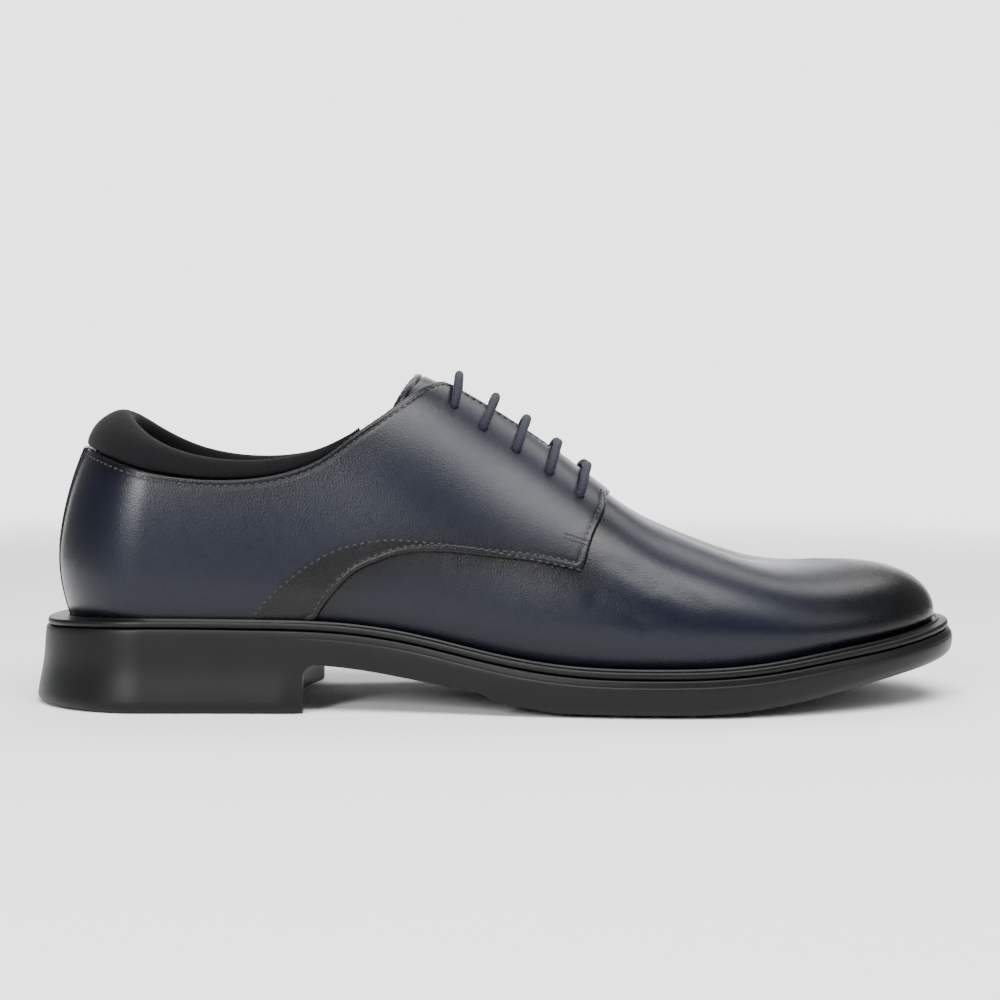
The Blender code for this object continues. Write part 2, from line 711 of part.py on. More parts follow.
def make_tongue(shoe, cutters):
    """The tongue: a sheet that lies against the inside of the facings and rises above them."""
    tree = surface_tree(last_form("outside of the tongue", -UPPER_WALL - GAP, cutters))
    half_at = smooth_curve([row.down for row in TONGUE_SHAPE], [row.half for row in TONGUE_SHAPE])
    across = np.linspace(-1, 1, TONGUE_COLUMNS)
    rows = []
    for down in np.linspace(0, 1, TONGUE_ROWS):
        half = half_at(down) * BALL_WIDTH
        row = []
        for share in across:
            back = along(TONGUE_BACK) - TONGUE_TOP_SWEEP * share**2
            front = along(TONGUE_FRONT) - TONGUE_FRONT_SWEEP * share**2
            x = back + (front - back) * down
            row.append(top_spot(tree, x, spine_y(x) + share * half)[0])
        rows.append(row)
    skin = np.array(rows)
    way = np.cross(np.gradient(skin, axis=0), np.gradient(skin, axis=1))
    way *= np.sign(way[..., 2:]) / np.linalg.norm(way, axis=2, keepdims=True)
    lining = skin - way * TONGUE_THICKNESS
    bm = bmesh.new()
    rings = [[*skin[:, k], *lining[::-1, k]] for k in range(TONGUE_COLUMNS)]
    made = loft(bm, rings)
    for ring in (made[0], made[-1]):
        for i in range(TONGUE_ROWS - 1):
            bm.faces.new((ring[i], ring[i + 1], ring[-i - 2], ring[-i - 1]))
    tongue = new_object("tongue", bm, shoe)
    paint(tongue, (0.022, 0.030, 0.058), 0.5)
    return tongue


def make_insole(shoe):
    """The footbed, inside the upper and the welt, on the sole."""
    seat = welt_levels()[2] - 2 * GAP
    edge = UPPER_WALL + INSOLE_PLAY
    bm = bmesh.new()
    levels = (
        (edge + INSOLE_ROUND / 2, seat),
        (edge, seat - INSOLE_ROUND),
        (edge, seat - INSOLE_THICKNESS + INSOLE_ROUND),
        (edge + INSOLE_ROUND, seat - INSOLE_THICKNESS),
    )
    rings = loft(bm, [foot_points(-inset, drop) for inset, drop in levels])
    ladder(bm, rings[0])
    ladder(bm, rings[-1])
    insole = new_object("insole", bm, shoe)
    paint(insole, (0.030, 0.032, 0.036), 0.8)
    return insole


def make_welt(shoe):
    """The thin strip round the foot between the upper and the sole."""
    top, bottom, _ = welt_levels()
    heights = foot_points(0, 0)[:, 2]
    inner = foot_points(-UPPER_WALL - GAP, 0)
    outer, bead = rim_ring(WELT_INSET), rim_ring(WELT_INSET - WELT_BEAD)
    bm = bmesh.new()
    rings = loft(
        bm,
        [
            with_heights(inner, heights - top),
            with_heights(outer, heights - top - GAP),
            with_heights(bead, heights - (top + bottom) / 2),
            with_heights(outer, heights - bottom),
            with_heights(inner, heights - bottom),
        ],
    )
    for i in range(len(inner)):
        j = (i + 1) % len(inner)
        bm.faces.new((rings[-1][i], rings[-1][j], rings[0][j], rings[0][i]))
    welt = new_object("welt", bm, shoe)
    paint(welt, (0.012, 0.013, 0.016), 0.55)
    return welt


def sole_weights():
    """How much of the heel's, the forefoot's and the toe's side wall each point of the rim takes."""
    share, _ = rib_shares()
    heel = np.clip((HEEL_WALL[1] - share) / (HEEL_WALL[1] - HEEL_WALL[0]), 0, 1)
    toe = np.clip((share - TOE_WALL[0]) / (TOE_WALL[1] - TOE_WALL[0]), 0, 1) ** TOE_WALL_POWER
    heel, toe = (np.array(ring_of(list(part), list(part))) for part in (heel, toe))
    return heel, (1 - heel) * (1 - toe), toe


def make_outsole(shoe, cutters):
    """The moulded sole in one piece: heel, waist, tread and rounded toe."""
    heights = foot_points(0, 0)[:, 2] - welt_levels()[2]
    share = np.array(ring_of(*[list(rib_shares()[0])] * 2))
    flat_end = max(point.along for point in TREAD_LINE if point.up == 0)
    floor = np.where(share < flat_end, 0, TREAD_HEIGHT(share)) * SEAT_HEIGHT
    heel, fore, toe = sole_weights()
    bm = bmesh.new()
    levels = [with_heights(foot_points(-SEAT_INSET, 0), heights)]
    for step in SOLE_WALL:
        reach = heel * step.heel + fore * step.fore + toe * step.toe
        ring = moved_out(rim_ring(), reach)
        levels.append(with_heights(ring, heights + (floor - heights) * step.down))
    last = SOLE_WALL[-1]
    reach = heel * last.heel + fore * last.fore + toe * last.toe
    for inset, lift in ((0.0, 1.0), *TREAD_CROWN):
        edge = moved_out(rim_ring(), reach - EDGE_ROUND - inset)
        levels.append(with_heights(edge, floor + (1 - heel) * lift * EDGE_ROUND))
    rings = loft(bm, levels)
    ladder(bm, rings[0])
    ladder(bm, rings[-1])
    outsole = new_object("outsole", bm, shoe)
    boolean(outsole, "DIFFERENCE", waist_cutter(cutters))
    applied(outsole)
    paint(outsole, (0.010, 0.011, 0.014), 0.5)
    return outsole


def waist_cutter(cutters):
    """The space under the waist, between the hollowed breast of the heel and the tread."""
    tread = along(TREAD_BACK)
    down = [
        (tread, WAIST_LINE[-1].up * SEAT_HEIGHT - TREAD_STEP),
        (tread + TREAD_RUN, 0.0),
        (tread + TREAD_RUN, -PAST),
    ]
    half = BREAST_WIDTH / 2
    bm = bmesh.new()
    sections = []
    for y in (-BALL_WIDTH, *(place * half for place in BREAST_PLACES), BALL_WIDTH):
        breast = HEEL_LENGTH / 2 - BREAST_DEPTH * max(0, 1 - (y / half) ** 2)
        section = [(breast, -PAST), *waist_roof(breast), *down]
        sections.append([(x, y, z) for x, z in section])
    rings = loft(bm, sections)
    bm.faces.new(rings[0])
    bm.faces.new(rings[-1])
    return new_object("space under the waist", bm, cutters)


def waist_roof(breast):
    """The waist's underside from the side, starting at the breast, with a round corner there."""
    curve = column(WAIST_LINE, "up")
    start = breast + BREAST_ROUND
    top = curve(share_of(start)) * SEAT_HEIGHT
    corner = [
        (start - BREAST_ROUND * math.cos(turn), top - BREAST_ROUND * (1 - math.sin(turn)))
        for turn in np.linspace(0, math.pi / 2, CORNER_STEPS + 1)
    ]
    rest = np.linspace(start, along(WAIST_LINE[-1].along), ROOF_STEPS + 1)[1:]
    return [*corner, *[(x, curve(share_of(x)) * SEAT_HEIGHT) for x in rest]]


def make_lace_bars(shoe, tree):
    """The five straight runs of lace over the throat."""
    for i, eyelet in enumerate(EYELETS):
        ends = [
            side_spot(tree, along(eyelet.along), eyelet.up * INSTEP_HEIGHT, side)[0] for side in (-1, 1)
        ]
        curve = bpy.data.curves.new(f"lace bar {i + 1}", "CURVE")
        curve.dimensions = "3D"
        curve.bevel_depth = LACE_DIAMETER / 2
        curve.bevel_resolution = 2
        curve.use_fill_caps = True
        spline = curve.splines.new("POLY")
        spline.points.add(BAR_POINTS - 1)
        for point, share in zip(spline.points, np.linspace(0, 1, BAR_POINTS)):
            flat = ends[0].lerp(ends[1], share)
            bow = 4 * share * (1 - share)
            spot, way = top_spot(tree, flat.x + eyelet.lean * bow, flat.y)
            point.co = (*(spot + way * (LACE_DIAMETER / 2 + 2 * GAP)), 1)
        bar = bpy.data.objects.new(f"lace_bar_{i + 1}", curve)
        shoe.objects.link(bar)
        paint(bar, (0.035, 0.045, 0.085), 0.8)


def main():
    for old in list(bpy.data.objects):
        bpy.data.objects.remove(old)
    shoe, cutters = collection("derby shoe"), collection("cutters")
    tree = make_upper(shoe, cutters)
    make_collar(shoe)
    make_tongue(shoe, cutters)
    make_insole(shoe)
    make_welt(shoe)
    make_outsole(shoe, cutters)
    make_lace_bars(shoe, tree)


main()
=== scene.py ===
# %% [markdown]
# # A lace-up derby shoe, dressed in Blender
#
# The shoe's solids already stand in the scene as a fixed frame. This script dresses them: each solid gets a
# smooth, detailed piece in its place, with leather, fabric, rubber or cord as its finish. Every place is
# worked out from the last, the wooden foot that a shoemaker pulls the leather over, so the pieces fit the
# frame.

# %% Load the frame
import math
from collections import namedtuple

import bmesh
import bpy
import numpy as np
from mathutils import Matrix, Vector
from mathutils.bvhtree import BVHTree
from mathutils.kdtree import KDTree


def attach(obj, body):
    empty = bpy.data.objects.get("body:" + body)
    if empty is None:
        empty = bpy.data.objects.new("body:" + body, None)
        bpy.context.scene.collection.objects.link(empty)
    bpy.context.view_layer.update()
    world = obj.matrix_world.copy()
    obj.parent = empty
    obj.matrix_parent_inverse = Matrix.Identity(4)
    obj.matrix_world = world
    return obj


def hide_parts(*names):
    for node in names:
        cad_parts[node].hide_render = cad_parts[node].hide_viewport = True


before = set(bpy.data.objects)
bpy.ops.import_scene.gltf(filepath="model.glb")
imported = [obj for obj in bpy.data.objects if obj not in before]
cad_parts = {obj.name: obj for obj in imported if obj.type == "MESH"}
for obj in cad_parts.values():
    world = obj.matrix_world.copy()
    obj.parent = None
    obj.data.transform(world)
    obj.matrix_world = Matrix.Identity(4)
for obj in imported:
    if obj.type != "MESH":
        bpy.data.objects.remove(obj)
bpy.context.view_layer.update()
print("frame", sorted(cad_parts))

# %% [markdown]
# ## The sizes of the shoe
#
# The same named sizes and tables that the solids were made from. A last can be drawn with a few cross-
# sections, called stations here, and a top line. It could be sculpted instead, but then no seam could be
# placed by a rule.

# %% The sizes, in metres
# The driving sizes
LENGTH = 0.302  # the sole, from the back of the heel to the toe
BALL_WIDTH = 0.098  # the upper across the ball of the foot
INSTEP_HEIGHT = 0.114  # the top of the last above the floor
SEAT_HEIGHT = 0.029  # the upper's lower edge above the floor, at the heel
HEEL_LENGTH = 0.091  # the heel's flat bottom, from its back to its breast
BREAST_DEPTH = 0.0065  # how far the heel's breast is hollowed, seen from below
BREAST_WIDTH = 0.070
TREAD_STEP = 0.0030  # how far the forefoot's tread stands below the waist

# The thickness of each material
UPPER_WALL = 0.0018
QUARTER_STEP = 0.0012  # how far the quarters stand above the vamp
BACKSTAY_STEP = 0.0009  # how far the backstay stands above the quarters
WELT_THICKNESS = 0.0022
TONGUE_THICKNESS = 0.0032
INSOLE_THICKNESS = 0.0060
LACE_DIAMETER = 0.0028
EYELET_DIAMETER = 0.0034
THROAT_WIDTH = 0.019  # the gap between the two facings
COLLAR_PAD = 0.0062  # how far the padded collar reaches in from the upper's inside
COLLAR_TUCK = 0.011  # how far the padded collar reaches down inside the upper
INSOLE_PLAY = 0.0021  # from the inside of the upper to the insole
INSOLE_ROUND = 0.0010  # the round at the insole's edges
WELT_INSET = 0.0012  # from the sole's rim in to the welt's edge
WELT_BEAD = 0.0005  # how far the welt's edge bulges
SEAT_INSET = 0.0040  # from the upper's lower edge in to the edge of the sole's flat top
GAP = 0.0003  # between pieces that touch


# %% The last and the lines on it, as shares
# Each row is one station of the last. Along is a share of LENGTH, feather of SEAT_HEIGHT, and the half
# widths on the lateral and medial sides, swing and rim are shares of BALL_WIDTH. Swing is how far the
# middle line bends to the inner side, feather is the height of the upper's lower edge, and rim is how far
# the sole reaches out past the upper. Widest is the share of a rib's height where it is widest, tuck is how
# far it draws in below that, as a share of its half width, and side and roof are the powers of the curve
# that closes above.
Station = namedtuple("Station", "along lateral medial swing feather rim widest tuck side roof")
STATIONS = (
    Station(0.0315, 0.345, 0.345, 0.000, 0.945, 0.062, 0.22, 0.090, 1.80, 1.55),
    Station(0.0650, 0.345, 0.345, 0.000, 0.980, 0.040, 0.20, 0.085, 1.95, 1.75),
    Station(0.1150, 0.344, 0.343, 0.000, 1.000, 0.027, 0.18, 0.070, 2.15, 1.95),
    Station(0.1700, 0.342, 0.337, 0.000, 1.000, 0.026, 0.17, 0.060, 2.25, 2.00),
    Station(0.2500, 0.342, 0.322, 0.000, 0.990, 0.028, 0.15, 0.055, 2.30, 2.00),
    Station(0.3300, 0.350, 0.318, 0.000, 0.965, 0.032, 0.14, 0.050, 2.35, 2.00),
    Station(0.4100, 0.370, 0.332, 0.000, 0.860, 0.035, 0.17, 0.050, 2.35, 1.90),
    Station(0.5000, 0.412, 0.378, 0.002, 0.655, 0.037, 0.18, 0.050, 2.00, 1.72),
    Station(0.5800, 0.455, 0.435, 0.004, 0.535, 0.037, 0.20, 0.050, 2.05, 1.75),
    Station(0.6600, 0.484, 0.488, 0.008, 0.510, 0.036, 0.23, 0.045, 2.15, 1.80),
    Station(0.7200, 0.490, 0.508, 0.014, 0.520, 0.036, 0.25, 0.040, 2.25, 1.85),
    Station(0.7800, 0.486, 0.510, 0.022, 0.570, 0.038, 0.25, 0.035, 2.40, 1.90),
    Station(0.8500, 0.474, 0.500, 0.036, 0.680, 0.044, 0.21, 0.030, 2.60, 2.00),
    Station(0.9200, 0.460, 0.485, 0.050, 0.785, 0.050, 0.15, 0.025, 2.85, 2.08),
    Station(0.9815, 0.450, 0.470, 0.060, 0.905, 0.052, 0.09, 0.020, 3.00, 2.12),
)
HEEL_ROUND = 0.135  # the outline is rounded behind this share of the length
TOE_ROUND = 0.700  # and ahead of this one
TOE_ROUND_POWER = 2.2
SPINE_BACK = 0.160  # every rib ends above on the middle line, between these shares of the length
SPINE_FRONT = 0.850

# The top line of the last: along is a share of LENGTH, height of INSTEP_HEIGHT, lean of BALL_WIDTH.
Ridge = namedtuple("Ridge", "along height lean")
RIDGE = (
    Ridge(0.160, 1.000, 0.000),
    Ridge(0.250, 1.000, 0.000),
    Ridge(0.340, 1.000, 0.005),
    Ridge(0.380, 0.988, 0.010),
    Ridge(0.417, 0.956, 0.016),
    Ridge(0.464, 0.893, 0.025),
    Ridge(0.500, 0.834, 0.030),
    Ridge(0.546, 0.744, 0.036),
    Ridge(0.589, 0.650, 0.040),
    Ridge(0.611, 0.601, 0.042),
    Ridge(0.636, 0.547, 0.044),
    Ridge(0.6685, 0.4955, 0.046),
    Ridge(0.7010, 0.4525, 0.048),
    Ridge(0.7450, 0.4050, 0.050),
    Ridge(0.7880, 0.3900, 0.050),
    Ridge(0.8500, 0.3960, 0.048),
)

# Lines seen from the side. Along is a share of LENGTH and up of INSTEP_HEIGHT.
SidePoint = namedtuple("SidePoint", "along up")
TOPLINE = (
    SidePoint(0.0000, 0.7330),
    SidePoint(0.0600, 0.7240),
    SidePoint(0.1040, 0.6880),
    SidePoint(0.1490, 0.6560),
    SidePoint(0.1910, 0.6420),
    SidePoint(0.2240, 0.6400),
    SidePoint(0.2670, 0.6510),
    SidePoint(0.3170, 0.6970),
    SidePoint(0.3490, 0.7570),
    SidePoint(0.3860, 0.8260),
    SidePoint(0.4140, 0.8820),
    SidePoint(0.4410, 0.9130),
    SidePoint(0.4560, 0.9080),
)
QUARTER_FRONT = (
    SidePoint(0.6170, 0.6400),
    SidePoint(0.6170, 0.5720),
    SidePoint(0.6145, 0.5520),
    SidePoint(0.6080, 0.5230),
    SidePoint(0.5990, 0.4740),
    SidePoint(0.5905, 0.4000),
)
QUARTER_LOWER = (
    SidePoint(0.5890, 0.3956),
    SidePoint(0.5470, 0.4190),
    SidePoint(0.4960, 0.4320),
    SidePoint(0.4570, 0.4420),
    SidePoint(0.4320, 0.4440),
    SidePoint(0.4060, 0.4390),
    SidePoint(0.3800, 0.4170),
    SidePoint(0.3540, 0.3830),
    SidePoint(0.3365, 0.3370),
    SidePoint(0.3235, 0.2930),
    SidePoint(0.3130, 0.2400),
    SidePoint(0.3060, 0.1400),
)
BACKSTAY_FRONT = (
    SidePoint(0.0620, 0.8600),
    SidePoint(0.0580, 0.7050),
    SidePoint(0.0470, 0.6320),
    SidePoint(0.0380, 0.5600),
    SidePoint(0.0310, 0.4700),
    SidePoint(0.0290, 0.4000),
    SidePoint(0.0300, 0.3300),
    SidePoint(0.0350, 0.2500),
    SidePoint(0.0380, 0.1000),
)
# The throat is cut through the vamp too, and the gap between the facings goes on ahead of it.
THROAT_FRONT = 0.597
Eyelet = namedtuple("Eyelet", "along up lean")  # lean is how far ahead of it the middle of its lace bar lies
EYELETS = (
    Eyelet(0.4560, 0.8430, 0.0004),
    Eyelet(0.4870, 0.7800, 0.0030),
    Eyelet(0.5220, 0.7190, 0.0026),
    Eyelet(0.5570, 0.6570, 0.0022),
    Eyelet(0.5880, 0.5950, 0.0024),
)

# The tongue. Down is the share of the way from its top to its front, and half is a share of BALL_WIDTH.
TongueRow = namedtuple("TongueRow", "down half")
TONGUE_SHAPE = (
    TongueRow(0.00, 0.231),
    TongueRow(0.10, 0.275),
    TongueRow(0.40, 0.270),
    TongueRow(0.80, 0.231),
    TongueRow(1.00, 0.198),
)
TONGUE_BACK = 0.4140
TONGUE_FRONT = 0.6060
TONGUE_TOP_SWEEP = 0.0080  # how far its top corners lie behind its middle
TONGUE_FRONT_SWEEP = 0.0030

# The collar's padding above the topline. Rise is in shares of COLLAR_RISE.
COLLAR_RISE = 0.0120
Rise = namedtuple("Rise", "along rise")
COLLAR_RISES = (
    Rise(0.030, 1.00),
    Rise(0.060, 0.97),
    Rise(0.090, 0.84),
    Rise(0.130, 0.66),
    Rise(0.190, 0.50),
    Rise(0.260, 0.42),
    Rise(0.310, 0.32),
    Rise(0.345, 0.14),
)
COLLAR_FRONT = 0.352

# The collar's section, from its lower outer corner round. Out is in shares of COLLAR_PAD from the inside of
# the upper, up in shares of the collar's rise, and down in shares of COLLAR_TUCK.
PadPoint = namedtuple("PadPoint", "out up down")
COLLAR_SECTION = (
    PadPoint(-0.22, 0.00, 1.00),
    PadPoint(0.00, 0.00, 0.80),
    PadPoint(0.00, 0.00, 0.00),
    PadPoint(0.42, 0.06, 0.00),
    PadPoint(0.60, 0.32, 0.00),
    PadPoint(0.50, 0.66, 0.00),
    PadPoint(0.15, 0.93, 0.00),
    PadPoint(-0.30, 1.00, 0.00),
    PadPoint(-0.72, 0.84, 0.00),
    PadPoint(-1.00, 0.45, 0.00),
    PadPoint(-1.00, 0.00, 0.10),
    PadPoint(-0.80, 0.00, 0.55),
    PadPoint(-0.50, 0.00, 0.95),
)

# The sole's underside along its middle, with up as a share of SEAT_HEIGHT.
WAIST_LINE = (
    SidePoint(0.290, 0.545),
    SidePoint(0.330, 0.515),
    SidePoint(0.372, 0.462),
    SidePoint(0.402, 0.408),
    SidePoint(0.445, 0.325),
    SidePoint(0.484, 0.255),
)
TREAD_BACK = 0.500
TREAD_RUN = 0.028  # from there on to where the tread has come down to the floor
BREAST_ROUND = 0.004  # the corner between the breast and the waist
TREAD_LINE = (
    SidePoint(0.0000, 0.000),
    SidePoint(0.5000, 0.000),
    SidePoint(0.5800, 0.000),
    SidePoint(0.7000, 0.000),
    SidePoint(0.7500, 0.028),
    SidePoint(0.8000, 0.105),
    SidePoint(0.8500, 0.205),
    SidePoint(0.9200, 0.345),
    SidePoint(0.9815, 0.430),
)

# How far the sole's side wall stands out or in, in metres, at places given as shares of its height from the
# top. The heel's wall flares out towards the floor, and the toe's is rounded in under the foot.
WallStep = namedtuple("WallStep", "down heel fore toe")
SOLE_WALL = (
    WallStep(0.00, 0.0000, 0.0000, 0.0000),
    WallStep(0.12, 0.0003, 0.0004, 0.0006),
    WallStep(0.50, 0.0012, 0.0003, 0.0008),
    WallStep(0.80, 0.0026, -0.0008, -0.0012),
    WallStep(0.90, 0.0030, -0.0016, -0.0030),
)
HEEL_WALL = (0.28, 0.42)  # the heel's wall turns into the forefoot's between these shares of the length
TOE_WALL = (0.80, 0.96)  # and the forefoot's into the toe's between these
TOE_WALL_POWER = 1.5
EDGE_ROUND = 0.0022  # the small round at the sole's lower edge
TREAD_CROWN = ((0.008, 0.45), (0.016, 0.0))  # how the forefoot's tread rises to its edge: inset and share

# %% [markdown]
# ## The last as a function
#
# A rib is one line up the side of the last, from its lower edge to the middle line above. It is named by t,
# from 0 at the heel to 1 at the toe, and a place on it by w, from 0 below to 1 above. Because the surface
# is a function, a panel can have as many points as it needs, and each seam line is found on it exactly.

# %% Curves through a table
def smooth_curve(xs, ys):
    """The natural cubic curve through some points, as a function of x."""
    xs, ys = np.array(xs, float), np.array(ys, float)
    steps = np.diff(xs)
    slopes = np.diff(ys) / steps
    system, target = np.eye(len(xs)), np.zeros(len(xs))
    for i in range(1, len(xs) - 1):
        system[i, i - 1 : i + 2] = steps[i - 1], 2 * (steps[i - 1] + steps[i]), steps[i]
        target[i] = 3 * (slopes[i] - slopes[i - 1])
    bend = np.linalg.solve(system, target)

    def value(x):
        x = np.clip(x, xs[0], xs[-1])
        i = np.clip(np.searchsorted(xs, x) - 1, 0, len(xs) - 2)
        d = x - xs[i]
        first = slopes[i] - steps[i] * (2 * bend[i] + bend[i + 1]) / 3
        return ys[i] + d * (first + d * (bend[i] + d * (bend[i + 1] - bend[i]) / (3 * steps[i])))

    return value


def column(rows, name):
    return smooth_curve([row.along for row in rows], [getattr(row, name) for row in rows])


def along(share):
    return share * LENGTH - HEEL_LENGTH / 2


def share_of(x):
    return (x + HEEL_LENGTH / 2) / LENGTH


STATION_OF = {name: column(STATIONS, name) for name in Station._fields[1:]}
RIDGE_HEIGHT, RIDGE_LEAN = column(RIDGE, "height"), column(RIDGE, "lean")
TREAD_HEIGHT = column(TREAD_LINE, "up")
BACK, TIP = STATIONS[0].along, STATIONS[-1].along
LOW = 0.12  # the share of w that lies below the widest place of a rib


def rounding(share):
    heel = np.clip((HEEL_ROUND - share) / (HEEL_ROUND - BACK), 0, 1)
    toe = np.clip((share - TOE_ROUND) / (TIP - TOE_ROUND), 0, 1)
    return np.sqrt(1 - heel**2) * (1 - toe**TOE_ROUND_POWER) ** (1 / TOE_ROUND_POWER)


def rib(t, side):
    """The ribs at t: the outline's X and Y, the ridge's X, Y and Z, the foot's Z and the station's values."""
    turn = (1 - np.cos(np.pi * t)) / 2
    share, spine = BACK + (TIP - BACK) * turn, SPINE_BACK + (SPINE_FRONT - SPINE_BACK) * turn
    at = {name: value(share) for name, value in STATION_OF.items()}
    half = np.where(side < 0, at["lateral"], at["medial"]) * rounding(share)
    wide = along(share), (at["swing"] + side * half) * BALL_WIDTH
    top = along(spine), RIDGE_LEAN(spine) * BALL_WIDTH, RIDGE_HEIGHT(spine) * INSTEP_HEIGHT
    return wide, top, at["feather"] * SEAT_HEIGHT, at


def skin(t, w, side):
    """The points of the last at t and w. Side is -1 for lateral and 1 for medial."""
    t, w, side = np.broadcast_arrays(np.asarray(t, float), np.asarray(w, float), side)
    wide, top, foot, at = rib(t, side)
    below = np.clip(1 - w / LOW, 0, 1)
    turn = np.clip((w - LOW) / (1 - LOW), 0, 1) * np.pi / 2
    over = at["widest"] + (1 - at["widest"]) * np.sin(turn) ** (2 / at["roof"])
    rise = np.where(w < LOW, at["widest"] * (1 - below), over)
    reach = np.where(w < LOW, 1 - at["tuck"] * below**2, np.clip(np.cos(turn), 0, 1) ** (2 / at["side"]))
    return np.stack(
        [
            top[0] + (wide[0] - top[0]) * reach,
            top[1] + (wide[1] - top[1]) * reach,
            foot + (top[2] - foot) * rise,
        ],
        axis=-1,
    )


def way_out(t, w, side):
    """The outward direction of the last at t and w."""
    t, w, side = np.broadcast_arrays(np.asarray(t, float), np.asarray(w, float), side)
    step = 2e-4
    forward = skin(np.minimum(t + step, 1), w, side) - skin(np.maximum(t - step, 0), w, side)
    upward = skin(t, np.minimum(w + step, 1), side) - skin(t, np.maximum(w - step, 0), side)
    out = np.cross(forward, upward) * -side[..., None]
    flat = (t < 1e-6) | (t > 1 - 1e-6) | (w > 1 - 1e-6)
    out[..., 1] = np.where(flat, 0, out[..., 1])
    return out / np.linalg.norm(out, axis=-1, keepdims=True)


def place(t, w, side, lift=0.0):
    return skin(t, w, side) + way_out(t, w, side) * np.asarray(lift)[..., None]


def bisect(wrong, low, high, steps=40):
    """The value between low and high where wrong turns from negative to positive, for whole arrays."""
    low, high = np.array(low, float), np.array(high, float)
    for _ in range(steps):
        middle = (low + high) / 2
        past = wrong(middle) > 0
        high, low = np.where(past, middle, high), np.where(past, low, middle)
    return (low + high) / 2


# %% Places on the last seen from the side
def level_at(t, z, side):
    _, top, foot, at = rib(t, side)
    rise = (z - foot) / (top[2] - foot)
    above = np.clip((rise - at["widest"]) / (1 - at["widest"]), 0, 1)
    turn = np.arcsin(above ** (at["roof"] / 2))
    return np.where(
        rise < at["widest"], LOW * np.clip(rise / at["widest"], 0, 1), LOW + (1 - LOW) * turn * 2 / np.pi
    )


def find(x, z, side, lift=0.0):
    """The t and w where the skin, moved out by lift, is at X and Z."""
    x, z = np.asarray(x, float), np.asarray(z, float)
    aim_x, aim_z = x.copy(), z.copy()
    for _ in range(4 if lift else 1):
        t = bisect(
            lambda t: skin(t, level_at(t, aim_z, side), side)[..., 0] - aim_x,
            np.zeros_like(x),
            np.ones_like(x),
        )
        w = level_at(t, aim_z, side)
        if lift:
            spot = place(t, w, side, lift)
            aim_x, aim_z = aim_x + (x - spot[..., 0]), aim_z + (z - spot[..., 2])
    return t, w


def spine_y(x):
    return RIDGE_LEAN(share_of(x)) * BALL_WIDTH


def side_line(points, steps=14):
    """A smooth line through points given from the side, as X and Z in metres."""
    spots = np.array([(along(point.along), point.up * INSTEP_HEIGHT) for point in points])
    walked = np.concatenate([[0], np.cumsum(np.hypot(*np.diff(spots, axis=0).T))])
    places = np.concatenate(
        [np.linspace(a, b, steps, endpoint=False) for a, b in zip(walked, walked[1:])] + [walked[-1:]]
    )
    return np.stack([smooth_curve(walked, spots[:, k])(places) for k in (0, 1)], axis=1)


TOPLINE_AT = smooth_curve(*side_line(TOPLINE).T)


def throat_level(t, side, half, lift):
    """Where ribs come within half of the middle line, seen from above."""
    def past(w):
        spot = place(t, w, side, lift)
        return half(spot[..., 0]) - np.abs(spot[..., 1] - spine_y(spot[..., 0]))
    return bisect(past, np.full_like(t, 0.3), np.ones_like(t))


def topline_level(t, side, lift, lower=0.0):
    """Where ribs cross the line lower below the topline. Ribs ahead of it never do, and give 1."""
    def past(w):
        spot = place(t, w, side, lift)
        over = spot[..., 2] - TOPLINE_AT(spot[..., 0]) + lower
        return np.where(spot[..., 0] > along(TOPLINE[-1].along), -1, over)
    return bisect(past, np.full_like(t, 0.05), np.ones_like(t))


probe = find(np.array([0.05]), np.array([0.05]), -1)
print("on the last at X and Z of 50 mm:", skin(*probe, -1).round(4).tolist())

# %% [markdown]
# ## Small tools for meshes
#
# Each panel starts as a grid of points with its rows close together along its edges, where the leather
# turns over. Most are made closed, with an outer and an inner side, so that an edge never shows as a paper-
# thin line.

# %% Making meshes
def mesh_piece(name, points, faces):
    """An object of points and faces, linked to the scene; tidy makes it smooth except at sharp corners."""
    mesh = bpy.data.meshes.new(name)
    mesh.from_pydata([tuple(point) for point in points], [], [list(map(int, face)) for face in faces])
    mesh.validate()
    made = bpy.data.objects.new(name, mesh)
    bpy.context.scene.collection.objects.link(made)
    return made


def grid_faces(rows, columns, first=0, flip=False):
    index = first + np.arange(rows * columns).reshape(rows, columns)
    quads = np.stack([index[:-1, :-1], index[1:, :-1], index[1:, 1:], index[:-1, 1:]], axis=-1).reshape(-1, 4)
    return quads[:, ::-1] if flip else quads


def both_sides(make):
    """The points and faces of a panel whose halves are the grids make(-1) and make(1)."""
    points, faces = [], []
    for side in (-1, 1):
        grid = make(side)
        rows, columns, _ = grid.shape
        faces += list(grid_faces(rows, columns, len(points) * rows * columns, side > 0))
        points.append(grid.reshape(-1, 3))
    return np.concatenate(points), faces


def tidy(piece, merge=1e-6, sharp=38):
    """Merges doubles, turns the faces outwards and smooths them."""
    bm = bmesh.new()
    bm.from_mesh(piece.data)
    bmesh.ops.remove_doubles(bm, verts=bm.verts, dist=merge)
    bmesh.ops.dissolve_degenerate(bm, edges=bm.edges, dist=1e-7)
    bmesh.ops.recalc_face_normals(bm, faces=bm.faces)
    bm.to_mesh(piece.data)
    bm.free()
    piece.data.shade_smooth()
    piece.data.set_sharp_from_angle(angle=math.radians(sharp))
    return piece


